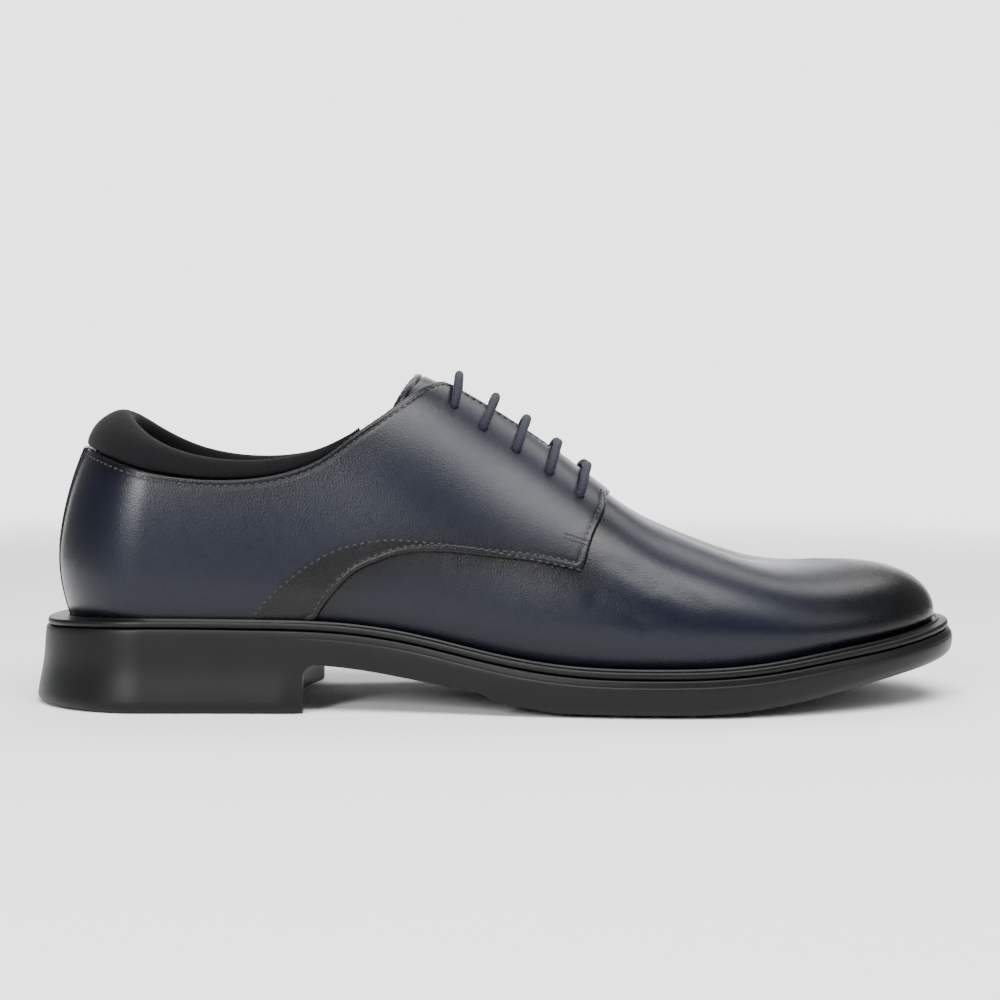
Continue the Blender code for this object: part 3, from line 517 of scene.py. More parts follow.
def shell(name, outer, inner):
    """A closed piece between two grids of points, outer and inner, joined along their edges."""
    rows, columns, _ = outer.shape
    count = rows * columns
    points = np.concatenate([outer.reshape(-1, 3), inner.reshape(-1, 3)])
    index = np.arange(count).reshape(rows, columns)
    loop = np.concatenate([index[0, :-1], index[:-1, -1], index[-1, :0:-1], index[:0:-1, 0]])
    follow = np.roll(loop, -1)
    rim = np.stack([loop, follow, follow + count, loop + count], axis=1)
    faces = [*grid_faces(rows, columns), *grid_faces(rows, columns, count, True), *rim]
    return tidy(mesh_piece(name, points, faces))


def applied(piece, kind, **settings):
    """Adds a modifier, sets it and makes it part of the mesh."""
    added = piece.modifiers.new(kind.lower(), kind)
    for name, value in settings.items():
        setattr(added, name, value)
    bpy.context.view_layer.update()
    mesh = bpy.data.meshes.new_from_object(piece.evaluated_get(bpy.context.evaluated_depsgraph_get()))
    piece.modifiers.clear()
    old, piece.data = piece.data, mesh
    bpy.data.meshes.remove(old)
    return piece


def walked(points):
    """How far along a line each of its points lies."""
    return np.concatenate([[0], np.cumsum(np.linalg.norm(np.diff(points, axis=0), axis=1))])


def resample(line, spots, shares):
    """Picks places along a line of t and w at given shares of its real length."""
    far = walked(spots)
    return np.stack([np.interp(shares * far[-1], far, line[:, k]) for k in (0, 1)], axis=-1)


def eased(distances, total, rest):
    """Shares from 0 to 1: first at the given distances from the start, then evenly."""
    near = np.array(distances) / total
    return np.concatenate([near, np.linspace(near[-1], 1, rest + 1)[1:]])


def edge_distance(points, lines):
    """How far each point lies from the nearest of some lines."""
    spots = []
    for line in lines:
        far = walked(line)
        fine = np.linspace(0, far[-1], max(int(far[-1] / 0.00025), 2))
        spots.append(np.stack([np.interp(fine, far, line[:, k]) for k in range(3)], axis=1))
    spots = np.concatenate(spots)
    tree = KDTree(len(spots))
    for i, spot in enumerate(spots):
        tree.insert(spot, i)
    tree.balance()
    return np.array([tree.find(point)[2] for point in points.reshape(-1, 3)]).reshape(points.shape[:-1])

# %% [markdown]
# ## The leather panels
#
# On the real shoe the quarters are cut from a flat hide, skived thin at their edges, and stitched on top of
# the vamp. A Boolean could cut them from the last, but would leave ragged triangles along the glossy edges.
# Here each quarter is stretched like a sheet between its four edges, so its rows run along them, and the
# rows next to an edge turn down to the vamp as the real rounded edge does.

# %% The edges of a quarter
FACING_HALF = THROAT_WIDTH / 2 - 0.0002  # from the middle line to a facing's edge
CORNER = 0.0028  # how far from a corner its round starts
EDGE_ROWS = (0.0, 0.00006, 0.0002, 0.0004, 0.0007, 0.0011, 0.0016, 0.0021, 0.0026, 0.0032, 0.0040)
STITCH_INSET = 0.0021  # from a panel's edge to its row of stitches


def rounded_corner(first, then, side):
    """Two lines of t and w that meet, cut back and joined by a round. Its middle ends one of them."""
    far = walked(place(*first.T, side, QUARTER_STEP))
    next_far = walked(place(*then.T, side, QUARTER_STEP))
    before = np.stack([np.interp(far[-1] - CORNER, far, first[:, k]) for k in (0, 1)])
    after = np.stack([np.interp(CORNER, next_far, then[:, k]) for k in (0, 1)])
    turns = np.linspace(0, 1, 13)[:, None]
    bend = (1 - turns) ** 2 * before + 2 * turns * (1 - turns) * first[-1] + turns**2 * after
    return (
        np.concatenate([first[far < far[-1] - CORNER], bend[:7]]),
        np.concatenate([bend[6:], then[next_far > CORNER]]),
    )


def quarter_edges(side):
    """The lower, front and upper edges of a quarter as lines of t and w; quarter_grid rounds their corners.
    """
    step = QUARTER_STEP
    lower_side, front_side = side_line(QUARTER_LOWER)[::-1], side_line(QUARTER_FRONT)[::-1]
    lower = np.stack(find(*lower_side.T, side, step), axis=1)
    start = lower[0, 0]
    feather = np.stack([np.linspace(0, start, 80), np.zeros(80)], axis=1)
    rising = np.linspace(lower[0, 1], 0, 12)[::-1][:-1]
    lower = np.concatenate([np.stack([np.full(11, start), rising], axis=1), lower])
    front = np.stack(find(*front_side.T, side, step), axis=1)
    t = np.linspace(0, 0.75, 900)
    facing = throat_level(t, side, lambda x: FACING_HALF, step)
    mouth = topline_level(t, side, step)
    turn = np.argmax((mouth > facing) & (t > 0.3))
    front_limit = np.interp(front[:, 0], t, facing)
    end = np.argmax(front[:, 1] > front_limit)
    front = np.concatenate([front[:end], [[front[end, 0], front_limit[end]]]])
    keep = (t > t[turn]) & (t < front[-1, 0])
    throat = np.concatenate([np.stack([t[keep], facing[keep]], axis=1), front[-1:]])
    topline = np.stack([t[: turn + 1], mouth[: turn + 1]], axis=1)
    return feather, lower, front, topline, throat


def quarter_grid(side):
    feather, lower, front, topline, throat = quarter_edges(side)
    lower, front = rounded_corner(lower, front, side)
    topline, throat = rounded_corner(topline, throat, side)
    front, throat = rounded_corner(front, throat[::-1], side)
    throat = throat[::-1]
    bottom = np.concatenate([feather, lower[1:]])
    top = np.concatenate([topline, throat[1:]])
    on = {}
    for name, line in (("bottom", bottom), ("top", top), ("front", front)):
        on[name] = place(*line.T, side, QUARTER_STEP)
    columns = 1 - eased(EDGE_ROWS, walked(on["bottom"])[-1], 190)[::-1]
    low, high = resample(bottom, on["bottom"], columns), resample(top, on["top"], columns)
    length = np.linalg.norm(place(*low.T, side) - place(*high.T, side), axis=1)
    grid = np.empty((len(columns), 2 * len(EDGE_ROWS) + 44, 2))
    near = np.array(EDGE_ROWS)
    for i, total in enumerate(length):
        edge = near * min(1, 0.42 * total / near[-1]) / total
        rows = np.concatenate([edge, np.linspace(edge[-1], 1 - edge[-1], 46)[1:-1], 1 - edge[::-1]])
        grid[i] = low[i] + (high[i] - low[i]) * rows[:, None]
    # Blend in the back and front edges, so that the last columns lie along the front edge itself.
    straight = grid[-1].copy()
    far = walked(straight)
    pull = resample(front, on["front"], far / far[-1]) - straight
    grid += pull[None] * columns[:, None, None] ** 6
    return grid, {"lower": lower, "front": front, "throat": throat, "topline": topline}


def over_edge(distance, height, radius):
    """How high leather stands at a distance from its cut edge."""
    inside = np.clip(distance / radius, 0, 1)
    return height * np.sqrt(1 - (1 - inside) ** 2)


def stitch_groove(distance, depth, width):
    """How far a row of stitches pulls the leather in, at a distance from the cut edge."""
    return depth * np.exp(-(((distance - STITCH_INSET) / width) ** 2))


QUARTER_EDGES = ("lower", "front", "throat", "topline")
quarters, quarter_lines = {}, {}
for side, name in ((-1, "quarter_lateral"), (1, "quarter_medial")):
    grid, lines = quarter_grid(side)
    base = place(grid[..., 0], grid[..., 1], side)
    edges = [place(*lines[part].T, side) for part in QUARTER_EDGES]
    distance = edge_distance(base, edges)
    lift = over_edge(distance, QUARTER_STEP, 0.0007)
    lift -= stitch_groove(distance, 0.00016, 0.0005)
    outer = place(grid[..., 0], grid[..., 1], side, lift)
    inner = place(grid[..., 0], grid[..., 1], side, -UPPER_WALL + 0.0001)
    quarters[side] = shell(name, outer, inner)
    quarter_lines[side] = lines
    print(name, len(quarters[side].data.polygons), "faces")

# %% [markdown]
# ## The vamp
#
# The vamp is the plain front of the shoe. It goes on under the quarters, and is cut out round the throat,
# so each rib runs up to the middle line, or to the throat's edge where there is one.

# %% The vamp
VAMP_BACK = 0.24  # where it ends under the quarters, as a value of t
VAMP_INSET = 0.002  # from the topline down to its upper edge there


def nose_half(x):
    """Half the width of the throat's cut in the vamp, with its round front end."""
    half = THROAT_WIDTH / 2
    middle = along(THROAT_FRONT) - half
    return np.sqrt(np.clip(half**2 - np.clip(x - middle, 0, None) ** 2, 0, None)) - 1e-5


def half_vamp(side):
    t = VAMP_BACK + (1 - VAMP_BACK) * np.linspace(0, 1, 220)
    end = throat_level(t, side, nose_half, 0.0)
    end = np.where(end > 0.995, 1.0, end)
    end = np.minimum(end, topline_level(t, side, 0.0, VAMP_INSET))
    rows = 1 - (1 - np.linspace(0, 1, 90)) ** 1.15  # closer together towards the middle line
    return skin(t[:, None], end[:, None] * rows, side)


vamp = tidy(mesh_piece("vamp", *both_sides(half_vamp)), merge=2e-5)


RIDGE_FRONT = 0.185  # the fold is rounded off as far forward as this
RIDGE_HALF = 0.013  # and as far as this to each side of the middle line
RIDGE_TURNS = 40


def soften_ridge(piece):
    """Rounds off the fold that the two halves leave along the middle line, ahead of the throat."""
    bm = bmesh.new()
    bm.from_mesh(piece.data)
    near = [
        vert for vert in bm.verts
        if not vert.is_boundary
        and vert.co.x < RIDGE_FRONT
        and abs(vert.co.y - spine_y(vert.co.x)) < RIDGE_HALF
    ]
    for _ in range(RIDGE_TURNS):
        bmesh.ops.smooth_vert(bm, verts=near, factor=0.5, use_axis_x=True, use_axis_y=True, use_axis_z=True)
    bm.to_mesh(piece.data)
    bm.free()


soften_ridge(vamp)

Crease = namedtuple("Crease", "depth width start end")  # its ends are (x, z), in metres
CREASES = (
    Crease(0.00028, 0.0028, (0.1366, 0.0360), (0.1500, 0.0300)),
    Crease(0.00022, 0.0034, (0.1500, 0.0455), (0.1680, 0.0355)),
    Crease(0.00016, 0.0026, (0.1420, 0.0480), (0.1530, 0.0400)),
)


def press_creases(piece):
    """Presses the soft folds of the ball into the vamp, on both sides."""
    points = np.array([vert.co[:] for vert in piece.data.vertices])
    normals = np.array([vert.normal[:] for vert in piece.data.vertices])
    for crease in CREASES:
        x, z = np.linspace(crease.start, crease.end, 12).T
        for side in (-1, 1):
            line = place(*find(x, z, side), side)
            points -= normals * (
                crease.depth * np.exp(-((edge_distance(points, [line]) / crease.width) ** 2))
            )[:, None]
    piece.data.vertices.foreach_set("co", points.ravel())
    piece.data.update()


press_creases(vamp)
applied(vamp, "SOLIDIFY", thickness=UPPER_WALL - 0.00015, offset=-1, use_even_offset=False)
vamp.data.shade_smooth()
print("vamp", len(vamp.data.polygons), "faces")

# %% [markdown]
# ## The eyelets
#
# These are blind eyelets: the metal ring sits under the leather, and only a punched hole shows. A hole has
# to be real here, because the lace dives through it, so five small cylinders are cut from each quarter at
# once.

# %% Punch the eyelets
def eyelet_places(side):
    x = np.array([along(eyelet.along) for eyelet in EYELETS])
    z = np.array([eyelet.up * INSTEP_HEIGHT for eyelet in EYELETS])
    t, w = find(x, z, side, QUARTER_STEP)
    return t, w, place(t, w, side, QUARTER_STEP), way_out(t, w, side)


def rod(bm, start, end, radius, sides=28):
    way = (end - start).normalized()
    turned = way.to_track_quat("Z", "Y").to_matrix().to_4x4()
    turned.translation = (start + end) / 2
    bmesh.ops.create_cone(
        bm,
        cap_ends=True,
        segments=sides,
        radius1=radius,
        radius2=radius,
        depth=(end - start).length,
        matrix=turned,
    )


for side in (-1, 1):
    bm = bmesh.new()
    for spot, way in zip(*eyelet_places(side)[2:]):
        rod(bm, Vector(spot + way * 0.004), Vector(spot - way * 0.006), EYELET_DIAMETER / 2)
    cutter = mesh_piece("eyelet cutter", [], [])
    bm.to_mesh(cutter.data)
    bm.free()
    applied(quarters[side], "BOOLEAN", operation="DIFFERENCE", solver="EXACT", object=cutter)
    bpy.data.objects.remove(cutter)
    tidy(quarters[side])
    print(quarters[side].name, "with holes:", len(quarters[side].data.polygons), "faces")

# %% [markdown]
# ## The backstay and the lining
#
# The backstay is a strip that covers the seam where the quarters meet behind the heel, with a thin cord
# worked under its middle as a bead. The lining is the inside of the last's skin, seen past the collar from
# above.

# %% The backstay
BEAD_HEIGHT = 0.0005
BEAD_WIDTH = 0.0006


def backstay_half(side, across, up):
    line = side_line(BACKSTAY_FRONT)[::-1]
    t, w = find(*line.T, side, QUARTER_STEP)
    limit = topline_level(t, side, QUARTER_STEP)
    keep = (w > 0.004) & (w < limit)
    widths = np.polyval(np.polyfit((w / limit)[keep], t[keep], 3), np.clip(up, 0.28, 1))
    t = across[:, None] * widths[None, :]
    w = up[None, :] * topline_level(t, side, QUARTER_STEP)
    return t, w


across = np.concatenate(
    [np.array([0, 0.02, 0.04, 0.065, 0.09, 0.12, 0.16]), 1 - np.linspace(0.8, 0, 16) ** 1.6]
)
up = 1 - (1 - np.linspace(0, 1, 110)) ** 1.25
outer, inner = [], []
for side in (-1, 1):
    t, w = backstay_half(side, across, up)
    base = place(t, w, side, QUARTER_STEP)
    to_edge = edge_distance(base, [base[-1]])
    to_top = edge_distance(base, [base[:, -1]])
    to_middle = edge_distance(base, [base[0]])
    lift = QUARTER_STEP + over_edge(to_edge, BACKSTAY_STEP, 0.0006)
    lift += BEAD_HEIGHT * np.exp(-((to_middle / BEAD_WIDTH) ** 2))
    lift -= stitch_groove(to_edge, 0.00012, 0.0004)
    lift -= (lift - 0.0002) * (1 - over_edge(to_top, 1, 0.0010))
    halves = [place(t, w, side, lift), place(t, w, side, 0.0004)]
    for made, half in zip((outer, inner), halves):
        made.append(half if side < 0 else half[1:])
backstay = shell("backstay", *[np.concatenate([made[0][::-1], made[1]]) for made in (outer, inner)])
print("backstay", len(backstay.data.polygons), "faces")

# %% The lining
LINING_DROP = 0.0015  # from the topline down to its edge
LINING_INSET = 0.0012  # from the throat's edge out to its edge


def lining_half(side):
    lift = -UPPER_WALL - 0.0001
    columns = np.linspace(0, 1, 150)
    mouth = topline_level(columns, side, lift, LINING_DROP)
    facing = throat_level(columns, side, lambda x: nose_half(x) + LINING_INSET, lift)
    facing = np.where((facing > 0.995) | (columns < 0.3), 1.0, facing)
    return place(columns[:, None], np.minimum(mouth, facing)[:, None] * np.linspace(0, 1, 50), side, lift)


lining = tidy(mesh_piece("lining", *both_sides(lining_half)), merge=2e-5)
applied(lining, "SOLIDIFY", thickness=0.0003, offset=-1)
lining.data.shade_smooth()

# %% [markdown]
# ## The padded collar
#
# A roll of foam under matte fabric, sewn to the topline. It swells above the leather behind the ankle and
# thins out towards the lacing. Its section is a smooth closed curve swept along the topline.

# %% The collar
def closed_curve(points, count):
    """A smooth closed curve through some points, at evenly spaced places."""
    wrapped = np.concatenate([points[-3:], points, points[:4]])
    far = walked(wrapped)
    places = np.linspace(far[3], far[3 + len(points)], count, endpoint=False)
    return np.stack([smooth_curve(far, wrapped[:, k])(places) for k in range(wrapped.shape[1])], axis=1)


def wall_spot(t, side, up, out):
    """The place on the rib at t at a height, moved level outwards by out."""
    wide, top, foot, at = rib(t, side)
    rise = (up - foot) / (top[2] - foot)
    above = np.clip((rise - at["widest"]) / (1 - at["widest"]), 0, 1)
    reach = (1 - above ** at["roof"]) ** (1 / at["side"])
    ray = np.stack([wide[0] - top[0], wide[1] - top[1]], axis=-1)
    length = np.linalg.norm(ray, axis=-1)
    with np.errstate(divide="ignore", invalid="ignore"):
        fall = above ** (at["roof"] - 1) * at["roof"] / at["side"] * reach ** (1 - at["side"])
        slope = np.where(
            (above > 0) & (above < 0.98), length * fall / ((1 - at["widest"]) * (top[2] - foot)), 0
        )
    far = reach + out * np.hypot(1, slope) / length
    return np.stack(
        [top[0] + ray[..., 0] * far, top[1] + ray[..., 1] * far, np.broadcast_to(up, far.shape)], axis=-1
    )


def topline_height(t, side):
    up = TOPLINE_AT(np.full(np.shape(t), along(BACK)))
    for _ in range(14):
        up = TOPLINE_AT(wall_spot(t, side, up, 0.0)[..., 0])
    return up


RISE_AT = column(COLLAR_RISES, "rise")
COLLAR_BULGE = 0.0010  # how far the fabric swells past the leather's outside behind the heel
PATH_COUNT, SECTION_COUNT = 260, 56
t_front = {
    side: float(
        bisect(
            lambda t: wall_spot(t, side, topline_height(t, side), 0.0)[..., 0] - along(COLLAR_FRONT),
            np.array(0.05),
            np.array(0.6),
        )
    )
    for side in (-1, 1)
}
signed = np.linspace(-t_front[-1], t_front[1], PATH_COUNT)
t, side = np.abs(signed), np.where(signed < 0, -1, 1)
up = topline_height(t, side)
spot = wall_spot(t, side, up, 0.0)
lift = RISE_AT(share_of(spot[:, 0]))
far = walked(spot)
to_end = np.minimum(far, far[-1] - far)
thick = COLLAR_PAD * (1 - 0.8 * (1 - np.clip(to_end / 0.032, 0, 1)) ** 2)
tuck = COLLAR_TUCK * thick / COLLAR_PAD
clear, widest = UPPER_WALL + 4 * GAP, max(point.out for point in COLLAR_SECTION)
section = []
for point in COLLAR_SECTION:
    bulge = (max(point.out, 0) / widest) ** 0.5 * (clear + QUARTER_STEP + COLLAR_BULGE) * lift
    out = -clear + (bulge if point.out > 0 else point.out * thick)
    rise = GAP + point.up * lift * COLLAR_RISE if point.up else GAP - point.down * tuck
    section.append(wall_spot(t, side, up + rise, out))
rings = [closed_curve(ring, SECTION_COUNT) for ring in np.stack(section, axis=1)]
tube = np.array(rings)
wrap = np.concatenate([tube, tube[:, :1]], axis=1)
ends = [np.repeat(tube[k].mean(axis=0)[None, None], SECTION_COUNT + 1, axis=1) for k in (0, -1)]
wrap = np.concatenate([ends[0], wrap, ends[1]])
collar = tidy(
    mesh_piece("padded_collar", wrap.reshape(-1, 3), grid_faces(PATH_COUNT + 2, SECTION_COUNT + 1)),
    merge=1e-6,
)
print("collar", len(collar.data.polygons), "faces")

# %% [markdown]
# ## The tongue and the insole
#
# The tongue is a soft sheet with a bound edge that lies against the inside of the facings. It is found by
# looking straight down on the last from above, which keeps it clear of the facings everywhere.

# %% The tongue
def form_tree(lift, low_t=0.02, high_t=0.9):
    """A dense skin of the last at a distance from it, for finding places from above."""
    t, w = np.linspace(low_t, high_t, 330)[:, None], np.linspace(0.25, 1, 170)
    points, faces = both_sides(lambda side: place(t, w, side, lift))
    return BVHTree.FromPolygons([Vector(p) for p in points], [list(map(int, f)) for f in faces])


def relaxed(grid, turns):
    """Smooths the inner points of a grid."""
    for _ in range(turns):
        mean = (grid[:-2, 1:-1] + grid[2:, 1:-1] + grid[1:-1, :-2] + grid[1:-1, 2:]) / 4
        grid[1:-1, 1:-1] += (mean - grid[1:-1, 1:-1]) * 0.6
    return grid


BINDING = 0.0026  # the width of the strip that binds the tongue's edge
tree = form_tree(-UPPER_WALL - GAP)
half_at = smooth_curve([row.down for row in TONGUE_SHAPE], [row.half for row in TONGUE_SHAPE])
turns = (1 - np.cos(np.linspace(0, np.pi, 90))) / 2
downs = 0.35 * turns + 0.65 * np.linspace(0, 1, 90)
spans = 2 * (0.35 * turns + 0.65 * np.linspace(0, 1, 90)) - 1
skin_grid = np.empty((90, 90, 3))
for i, down in enumerate(downs):
    for j, span in enumerate(spans):
        back = along(TONGUE_BACK) - TONGUE_TOP_SWEEP * span**2
        front = along(TONGUE_FRONT) - TONGUE_FRONT_SWEEP * span**2
        x = back + (front - back) * down
        y = spine_y(x) + span * half_at(down) * BALL_WIDTH
        skin_grid[i, j] = tree.ray_cast(Vector((x, y, 2 * INSTEP_HEIGHT)), Vector((0, 0, -1)))[0]
skin_grid = relaxed(skin_grid, 12)
ways = np.cross(np.gradient(skin_grid, axis=0), np.gradient(skin_grid, axis=1))
ways *= np.sign(ways[..., 2:]) / np.linalg.norm(ways, axis=2, keepdims=True)
border = [skin_grid[0], skin_grid[-1], skin_grid[:, 0], skin_grid[:, -1]]
to_edge = edge_distance(skin_grid, border)
round_off = TONGUE_THICKNESS / 2 * (1 - over_edge(to_edge, 1, TONGUE_THICKNESS / 2))
seam = 0.00045 * np.exp(-(((to_edge - BINDING) / 0.0004) ** 2))
tongue = shell(
    "padded_tongue",
    skin_grid - ways * (round_off + seam + 0.0001)[..., None],
    skin_grid - ways * (TONGUE_THICKNESS - round_off - seam)[..., None],
)
print("tongue", len(tongue.data.polygons), "faces")

# %% Rings round the foot
ROUND = 300  # places along each side of a ring


def ring_values():
    t = np.linspace(0, 1, ROUND + 1)
    return np.concatenate([t, t[-2:0:-1]]), np.concatenate([np.full(ROUND + 1, -1), np.full(ROUND - 1, 1)])


RING_T, RING_SIDE = ring_values()
RING_SHARE = BACK + (TIP - BACK) * (1 - np.cos(np.pi * RING_T)) / 2
FEATHER = STATION_OF["feather"](RING_SHARE) * SEAT_HEIGHT


def moved_out(ring, offset):
    way = np.roll(ring, -1, axis=0) - np.roll(ring, 1, axis=0)
    normal = np.stack([way[:, 1], -way[:, 0]], axis=1)
    normal /= np.linalg.norm(normal, axis=1)[:, None]
    return ring[:, :2] + normal * np.broadcast_to(offset, len(ring))[:, None]


def foot_ring(offset):
    """The line of the upper's lower edge, seen from above, moved out by offset."""
    return moved_out(skin(RING_T, np.zeros(len(RING_T)), RING_SIDE)[:, :2], offset)


def rim_ring(inset=0.0):
    wide, _, _, at = rib(RING_T, RING_SIDE)
    return moved_out(np.stack(wide, axis=1), at["rim"] * BALL_WIDTH - inset)


def ring_piece(name, levels, closed_section=False):
    """A piece lofted between rings, each given as its places seen from above and its heights."""
    grid = np.stack([np.column_stack([flat, np.broadcast_to(high, len(flat))]) for flat, high in levels])
    if closed_section:
        grid = np.concatenate([grid, grid[:1]])
    grid = np.concatenate([grid, grid[:, :1]], axis=1)
    faces = list(grid_faces(*grid.shape[:2]))
    if not closed_section:
        count, last = 2 * ROUND, (len(levels) - 1) * (2 * ROUND + 1)
        for first in (0, last):
            for i in range(ROUND):
                corners = [
                    first + i, first + i + 1, first + (count - i - 1) % count, first + (count - i) % count
                ]
                faces.append(list(dict.fromkeys(corners)))
    return tidy(mesh_piece(name, grid.reshape(-1, 3), faces), merge=1e-6)


# %% The insole
seat = WELT_THICKNESS  # the insole rests level with the welt's underside
edge = UPPER_WALL + INSOLE_PLAY
arcs = np.linspace(0, math.pi / 2, 6)
levels = [(foot_ring(-edge - INSOLE_ROUND / 2), FEATHER - seat)]
levels += [
    (
        foot_ring(-edge - 1.6 * INSOLE_ROUND * (1 - math.cos(arc))),
        FEATHER - seat + INSOLE_THICKNESS - INSOLE_ROUND * (1 - math.sin(arc)),
    )
    for arc in arcs
]
insole = ring_piece("footbed", levels)

# %% [markdown]
# ## The welt rim and the moulded sole
#
# Both run round the whole foot, so both are lofted from rings. The rim is a thin band with a ridge against
# the upper and a rounded bead outside. The sole's wall flares at the heel and curls under at the toe. The
# space under the waist is cut out with a Boolean, as the mould's own shape is too blunt there to need more
# than a small round.

# %% The welt rim
top, bottom = GAP, GAP + WELT_THICKNESS
inner, outer = foot_ring(-UPPER_WALL - GAP), rim_ring(WELT_INSET)
ridge = foot_ring(QUARTER_STEP + 0.0010)
bead = (bottom - top) / 2
levels = [
    (inner, FEATHER - top),
    (foot_ring(QUARTER_STEP + 0.0001), FEATHER - top + 0.0001),
    (foot_ring(QUARTER_STEP + 0.0004), FEATHER - top + 0.0006),
    (ridge, FEATHER - top + 0.0006),
    (foot_ring(QUARTER_STEP + 0.0013), FEATHER - top + 0.0001),
    ((foot_ring(QUARTER_STEP + 0.0013) + rim_ring(WELT_INSET + 0.0006)) / 2, FEATHER - top - 0.0001),
]
for arc in np.linspace(math.pi / 2, -math.pi / 2, 11):
    levels.append(
        (
            rim_ring(WELT_INSET - (WELT_BEAD + 0.0002) * math.cos(arc)),
            FEATHER - (top + bottom) / 2 + bead * math.sin(arc),
        )
    )
levels.append((inner, FEATHER - bottom))
welt = ring_piece("welt_rim", levels, closed_section=True)
print("welt rim", len(welt.data.polygons), "faces")

# %% The sole
def wall_reach(down, heel, fore, toe):
    steps = np.array(SOLE_WALL)
    at = [smooth_curve(steps[:, 0], steps[:, column])(down) for column in (1, 2, 3)]
    return heel * at[0] + fore * at[1] + toe * at[2]


heel = np.clip((HEEL_WALL[1] - RING_SHARE) / (HEEL_WALL[1] - HEEL_WALL[0]), 0, 1)
toe = np.clip((RING_SHARE - TOE_WALL[0]) / (TOE_WALL[1] - TOE_WALL[0]), 0, 1) ** TOE_WALL_POWER
fore = (1 - heel) * (1 - toe)
flat_end = max(point.along for point in TREAD_LINE if point.up == 0)
ground = np.where(RING_SHARE < flat_end, 0, TREAD_HEIGHT(RING_SHARE)) * SEAT_HEIGHT
over = FEATHER - GAP - WELT_THICKNESS - GAP
levels = [(foot_ring(-SEAT_INSET), over)]
for arc in np.linspace(math.pi / 2, 0, 5):  # the small round at the wall's upper edge
    levels.append((rim_ring(0.0006 * (1 - math.cos(arc))), over - 0.0006 * (1 - math.sin(arc))))
LINE_DEPTH, LINE_DROP = 0.00022, 0.0021  # the fine line moulded round the wall
for drop in (0.0015, 0.0018, 0.0020, 0.0021, 0.0022, 0.0024, 0.0027):
    down = drop / np.maximum(over - ground, 0.001)
    notch = LINE_DEPTH * math.exp(-(((drop - LINE_DROP) / 0.00022) ** 2)) * (1 - heel)
    levels.append((moved_out(rim_ring(), wall_reach(down, heel, fore, toe) - notch), over - drop))
for down in np.linspace(0.22, 0.90, 12):
    reach = wall_reach(down, heel, fore, toe)
    levels.append((moved_out(rim_ring(), reach), over + (ground - over) * down))
last_reach = wall_reach(0.90, heel, fore, toe)
last_height = over + (ground - over) * 0.90
for arc in np.linspace(0, math.pi / 2, 7)[1:]:
    levels.append(
        (
            moved_out(rim_ring(), last_reach - EDGE_ROUND * (1 - math.cos(arc))),
            last_height + (ground + (1 - heel) * EDGE_ROUND - last_height) * math.sin(arc),
        )
    )
for inset, share in TREAD_CROWN:
    levels.append(
        (moved_out(rim_ring(), last_reach - EDGE_ROUND - inset), ground + (1 - heel) * share * EDGE_ROUND)
    )
outsole = ring_piece("moulded_sole", levels)


def waist_roof(breast):
    curve = column(WAIST_LINE, "up")
    start = breast + BREAST_ROUND
    top = curve(share_of(start)) * SEAT_HEIGHT
    corner = [
        (start - BREAST_ROUND * math.cos(turn), top - BREAST_ROUND * (1 - math.sin(turn)))
        for turn in np.linspace(0, math.pi / 2, 9)
    ]
    rest = np.linspace(start, along(WAIST_LINE[-1].along), 40)[1:]
    return [*corner, *[(x, curve(share_of(x)) * SEAT_HEIGHT) for x in rest]]


tread = along(TREAD_BACK)
down = [
    (tread, WAIST_LINE[-1].up * SEAT_HEIGHT - TREAD_STEP),
    (tread + TREAD_RUN, 0.0),
    (tread + TREAD_RUN, -0.03),
]
places = [-BALL_WIDTH, *(BREAST_WIDTH / 2 * np.linspace(-1, 1, 25)), BALL_WIDTH]
sections = []
for y in places:
    breast = HEEL_LENGTH / 2 - BREAST_DEPTH * max(0, 1 - (2 * y / BREAST_WIDTH) ** 2)
    sections.append([(x, y, z) for x, z in [(breast, -0.03), *waist_roof(breast), *down]])
sections = np.array(sections)
count, corners, _ = sections.shape
grid = np.concatenate([sections, sections[:, :1]], axis=1)
faces = [list(face) for face in grid_faces(count, corners + 1)]
faces += [list(range(corners)), [(count - 1) * (corners + 1) + k for k in range(corners)]]
cutter = tidy(mesh_piece("waist cutter", grid.reshape(-1, 3), faces))
applied(outsole, "BOOLEAN", operation="DIFFERENCE", solver="EXACT", object=cutter)
bpy.data.objects.remove(cutter)
tidy(outsole, merge=2e-6, sharp=32)
print("sole", len(outsole.data.polygons), "faces")

# %% [markdown]
# ## The lace
#
# One round braided cord. Five straight bars cross the tongue. Each end of a bar dives through its eyelet,
# and the cord runs on under the facing to the next one. Its two ends stop under the top eyelets, where the
# photograph hides them. The braid is drawn in the mesh itself: two sets of strands wind round the cord in
# opposite ways, and whichever lies on top lifts the surface.

# %% The lace
STRANDS = 5  # strands of each direction round the cord
BRAID_PITCH = 0.0052  # the length in which a strand winds once round
CORD_STEP, CORD_SIDES = 0.00019, 30
EYELET_KNOTS = ((-0.0042, 0.0), (-0.0020, 0.0), (0.0006, 0.0002))  # outwards, and towards the far eyelet
UNDER_DEPTH = 0.0048  # from the leather in to a hidden run
TAIL_DEPTH, TAIL_REACH = 0.0056, 0.25  # the last end's, its reach as a share of the way to the next eyelet


def smooth_path(knots, step):
    """A smooth line through some points, at even steps."""
    far = walked(knots)
    places = np.linspace(0, far[-1], 40 * len(knots))
    line = np.stack([smooth_curve(far, knots[:, k])(places) for k in range(3)], axis=1)
    far = walked(line)
    places = np.linspace(0, far[-1], max(int(far[-1] / step), 8))
    return np.stack([np.interp(places, far, line[:, k]) for k in range(3)], axis=1)


